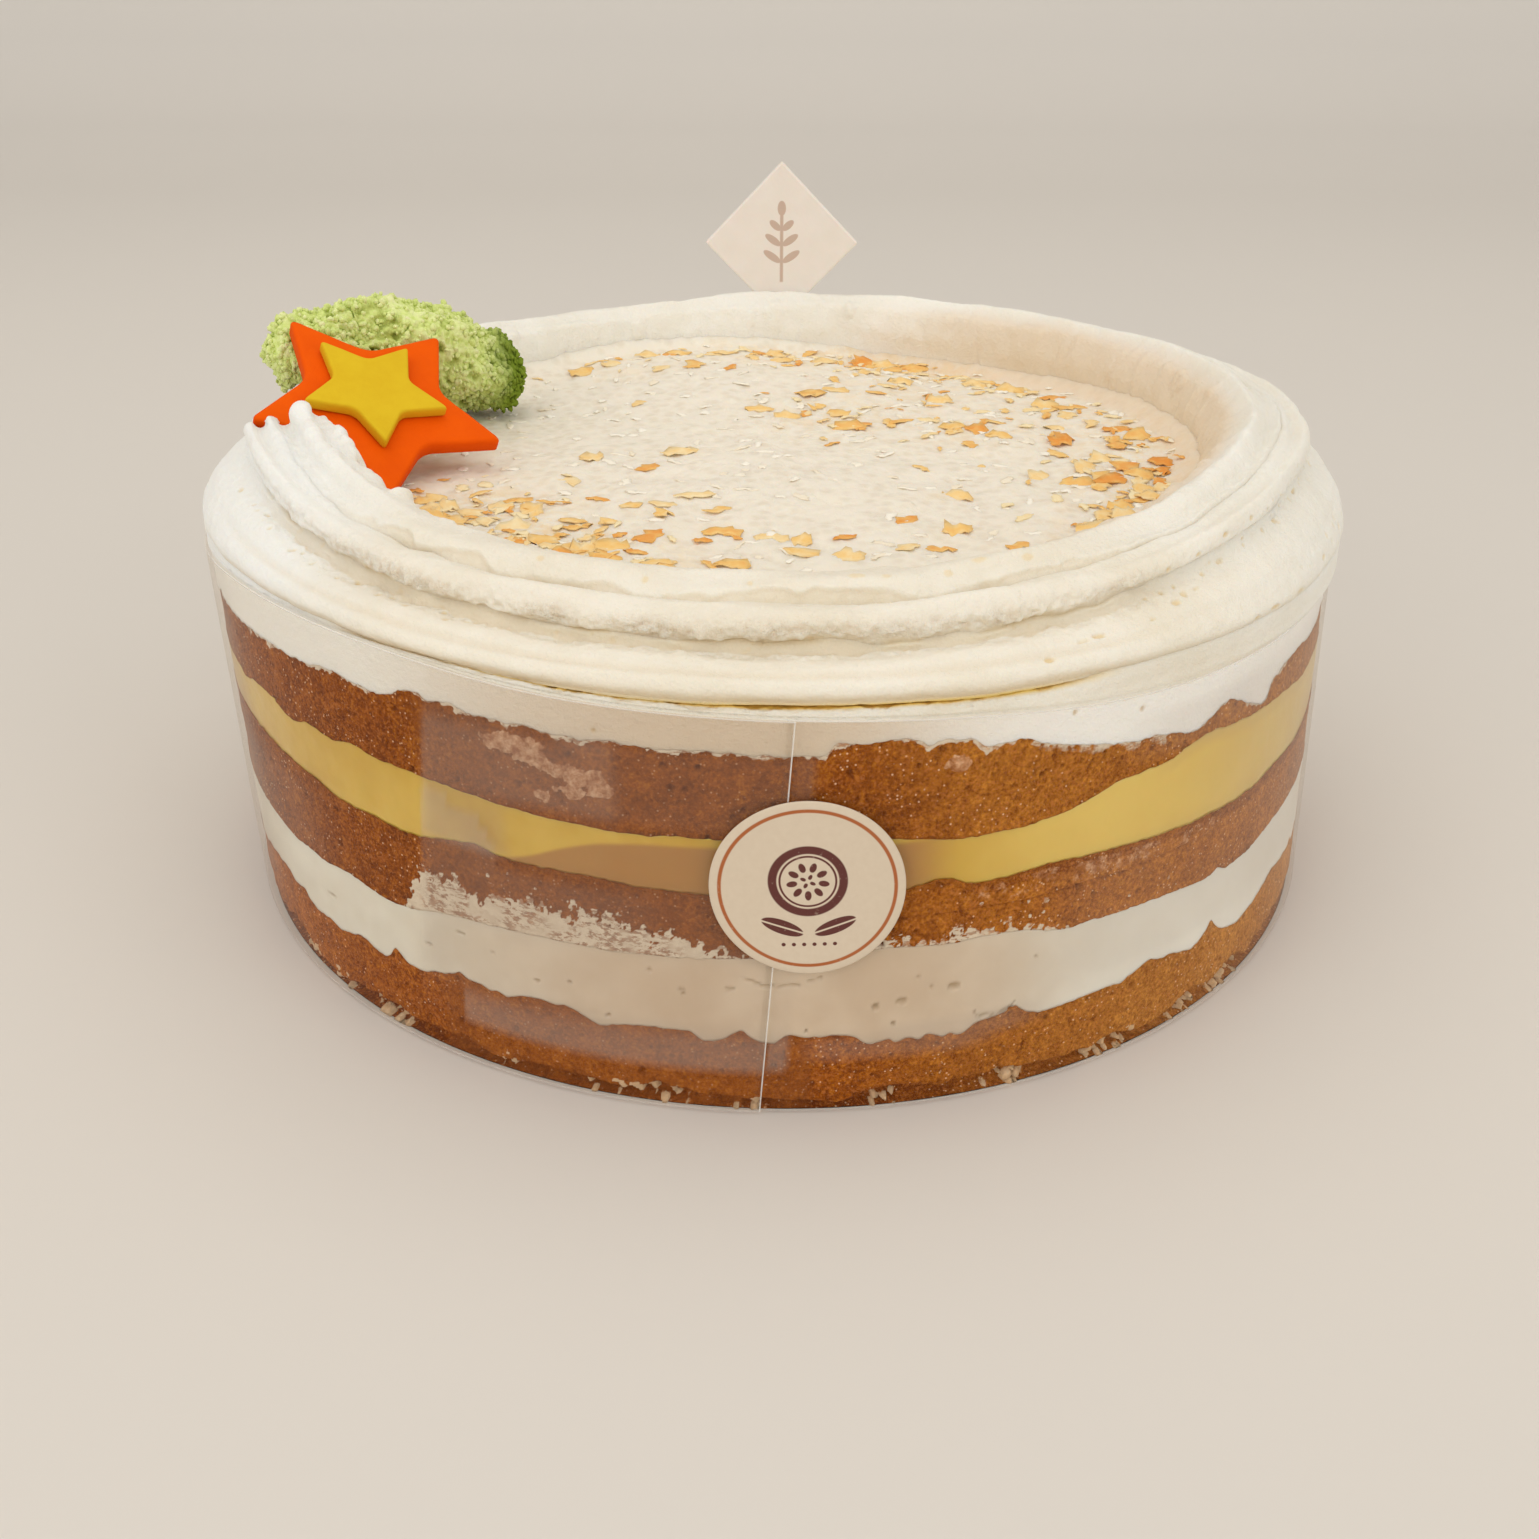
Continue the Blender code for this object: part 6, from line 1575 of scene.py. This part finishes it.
def coconut(toasted_look, white_look):
    """Toasted flakes in their patches, the large ones where the solids have them, and white chips all over."""
    large = flake_places()
    size = np.array(FLAKE_SIZE)[None] * large[:, 3:4] * (1.05, 1.15, 0.16)
    draw = np.random.default_rng(239)
    flake_swarm("toasted_large", on_floor(large[:, 0], large[:, 1], 0.0001), large[:, 2], size, large[:, 4] * 0.18,
                large[:, 5] * 0.35, draw.uniform(0.2, 0.85, len(large)), toasted_look, ["cream_top"])
    x, y, draw = scatter(9000, 241, lambda x, y, chance: chance < 0.13 * patch_density(x, y) ** 1.2 + 0.0010)
    count = len(x)
    grow = draw.uniform(0.35, 0.9, (count, 1)) ** 1.2
    size = np.array(FLAKE_SIZE)[None] * grow * np.stack([draw.uniform(0.7, 1.3, count), draw.uniform(0.5, 1.1, count),
                                                         np.full(count, 0.2)], -1)
    spots = np.array(FLAKE_SPOTS).reshape(-1, 6)
    x, y = np.append(x, spots[:, 0] / 1000), np.append(y, spots[:, 1] / 1000)
    spot_size = np.stack([spots[:, 3] * 0.95, spots[:, 4] * 1.3, np.full(len(spots), 0.16)], -1) / 1000
    size = np.concatenate([size, spot_size])
    heading = np.append(draw.uniform(0, math.tau, count), np.radians(spots[:, 2]))
    bow = np.append(draw.uniform(0.00005, 0.0004, count), draw.uniform(0.0002, 0.0010, len(spots)))
    tilt = np.append(draw.uniform(-0.12, 0.12, count),
                     draw.uniform(0.05, 0.42, len(spots)) * np.cos(np.radians(spots[:, 2])))
    flake_swarm("toasted_small", on_floor(x, y, 0.0002), heading, size, bow, tilt,
                np.append(draw.uniform(-0.1, 0.8, count), spots[:, 5]), toasted_look, ["cream_top"])
    x, y, draw = scatter(300, 251, lambda x, y, chance: chance < 1.0)
    count = len(x)
    size = np.stack([draw.uniform(0.0016, 0.0046, count), draw.uniform(0.0008, 0.0022, count),
                     np.full(count, 0.00012)], -1)
    flake_swarm("white_chips", on_floor(x, y, 0.0), draw.uniform(0, math.tau, count), size,
                draw.uniform(0.0001, 0.0003, count), draw.uniform(-0.06, 0.06, count),
                draw.uniform(0.0, 0.9, count), white_look, ["cream_top"])


def plaque_look():
    """Ivory sugar plate with a printed sprig: a stem with paired leaves, in the plate's own x and z."""
    look = Look("plaque_print")
    centred = look.node("ShaderNodeMapping", None, {"Vector": look.place, "Location": [-v for v in PLAQUE_PLACE]})
    parts = look.node("ShaderNodeSeparateXYZ", None, {0: centred.outputs[0]})
    x, z = Number(look, parts.outputs[0]) * 100, Number(look, parts.outputs[2]) * 100
    side = x.math("ABSOLUTE")
    stem = side.step(0.055, 0.025) * z.step(-0.95, -0.90) * z.step(0.75, 0.70)
    marks = stem
    for low, reach in ((-0.45, 0.42), (-0.05, 0.38), (0.32, 0.28)):
        leaf_u = side - reach * 0.55
        leaf_v = z - low - side * 0.55
        leaf = (leaf_u * leaf_u / (reach * reach * 0.25) + leaf_v * leaf_v / 0.010).step(1.12, 0.88)
        marks = marks.math("MAXIMUM", leaf)
    bud_z = z - 0.80
    marks = marks.math("MAXIMUM", (x * x / 0.010 + bud_z * bud_z / 0.030).step(1.15, 0.85))
    front = Number(look, parts.outputs[1]).step(0.0, -0.0008)
    base = look.blend(look.grain(180, 3), (0.79, 0.72, 0.64), (0.84, 0.78, 0.72))
    base = look.blend(marks * front * 0.75, base, (0.50, 0.33, 0.24))
    bump = look.relief(look.grain(500, 2), 0.0002, 0.6)
    return look.finish(look.shader(base, 0.45, bump, Subsurface_Weight=0.15, Subsurface_Scale=0.002))


# ---- the cake ----

sponge = sponge_look()
side_cream = side_cream_look()
whipped = whipped_look()
for name, level in (("sponge_bottom", 0), ("sponge_middle", 2), ("sponge_top", 4)):
    sponge_layer(name, level, sponge)
cream_layer(side_cream)
curd_layer(curd_look())
cream_lip(whipped)
coconut_floor(floor_look())
piped_border(whipped)
star_piece("star_orange", STAR_RADIUS, STAR_INNER, -STAR_THICKNESS, 0.0, (0.0, 0.0), 0.0,
           sugar_look("orange_paste", (0.86, 0.105, 0.0), (0.76, 0.075, 0.0)))
star_piece("star_yellow", SMALL_STAR_RADIUS, SMALL_STAR_INNER, GAP, GAP + SMALL_STAR_THICKNESS, SMALL_STAR_SHIFT,
           SMALL_STAR_TURN, sugar_look("yellow_paste", (0.73, 0.49, 0.018), (0.64, 0.38, 0.010)))
moss_piece(moss_look())
coconut(flake_look("toasted_coconut", tint(246, 228, 184), tint(242, 198, 120), tint(232, 150, 62)),
        flake_look("white_coconut", tint(250, 244, 230), tint(248, 240, 222), tint(243, 230, 205)))
film_collar(film_look())
label_piece(label_look())
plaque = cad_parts["plaque"]
plaque.data.materials.clear()
plaque.data.materials.append(plaque_look().material)


# ---- studio ----

def stage_look(name, colour, roughness):
    look = Look(name)
    base = look.blend(look.grain(3.0, 2), colour, tuple(c * 0.97 for c in colour))
    return look.finish(look.shader(base, roughness))


def sweep():
    """A pale floor that curves up into a backdrop: a straight profile carried along X."""
    depth = np.array([-3.0, -1.0, 0.4, 0.9, 1.1, 1.22, 1.28, 1.3, 1.3])
    rise = np.array([0.0, 0.0, 0.0, 0.0, 0.02, 0.08, 0.18, 0.35, 2.5])
    wide = np.linspace(-3, 3, 9)
    place = np.stack([np.broadcast_to(wide[None], (9, 9)), np.broadcast_to(depth[:, None], (9, 9)),
                      np.broadcast_to(rise[:, None], (9, 9)) - 0.0001], -1)
    mesh = bpy.data.meshes.new("studio_sweep")
    mesh.from_pydata(place.reshape(-1, 3).tolist(), [], grid_faces(9, 9, wrap_columns=False).tolist())
    mesh.polygons.foreach_set("use_smooth", np.full(len(mesh.polygons), True))
    mesh.materials.append(stage_look("pale_floor", (0.72, 0.675, 0.615), 0.6).material)
    made = bpy.data.objects.new("studio_sweep", mesh)
    bpy.context.scene.collection.objects.link(made)


def lamp(name, place, aim, size, power, colour):
    light = bpy.data.lights.new(name, "AREA")
    light.shape = "RECTANGLE"
    light.size, light.size_y = size
    light.energy = power
    light.color = colour
    made = bpy.data.objects.new(name, light)
    made.location = place
    made.rotation_euler = (Vector(aim) - Vector(place)).to_track_quat("-Z", "Y").to_euler()
    bpy.context.scene.collection.objects.link(made)


ROOM_COLOUR = (0.885, 0.875, 0.86, 1.0)
ROOM_STRENGTH = 0.88


def studio():
    sweep()
    lamp("over", (-0.1, 0.05, 1.1), (0.0, 0.0, 0.05), (1.2, 1.0), 3.0, (1.0, 0.93, 0.83))
    lamp("front_left", (-0.8, -0.9, 0.55), (0.0, 0.0, 0.05), (0.7, 0.7), 2.4, (1.0, 0.98, 0.95))
    lamp("front_right", (0.9, -0.8, 0.5), (0.0, 0.0, 0.05), (0.7, 0.7), 2.2, (1.0, 0.98, 0.95))
    world = bpy.data.worlds.new("pale_room")
    bpy.context.scene.world = world
    world.use_nodes = True
    background = world.node_tree.nodes["Background"]
    background.inputs[0].default_value = ROOM_COLOUR
    background.inputs[1].default_value = ROOM_STRENGTH
    lens = bpy.data.cameras.new("camera")
    lens.lens = CAMERA_LENS
    lens.sensor_width = CAMERA_SENSOR
    lens.clip_start = 0.01
    camera = bpy.data.objects.new("camera", lens)
    turn = (Matrix.Rotation(math.radians(-CAMERA_YAW), 4, "Z")
            @ Matrix.Rotation(math.radians(90 - CAMERA_PITCH), 4, "X")
            @ Matrix.Rotation(math.radians(CAMERA_ROLL), 4, "Z"))
    camera.matrix_world = Matrix.Translation(CAMERA_PLACE) @ turn
    bpy.context.scene.collection.objects.link(camera)
    bpy.context.scene.camera = camera
    bpy.context.scene.view_settings.view_transform = "Standard"


studio()
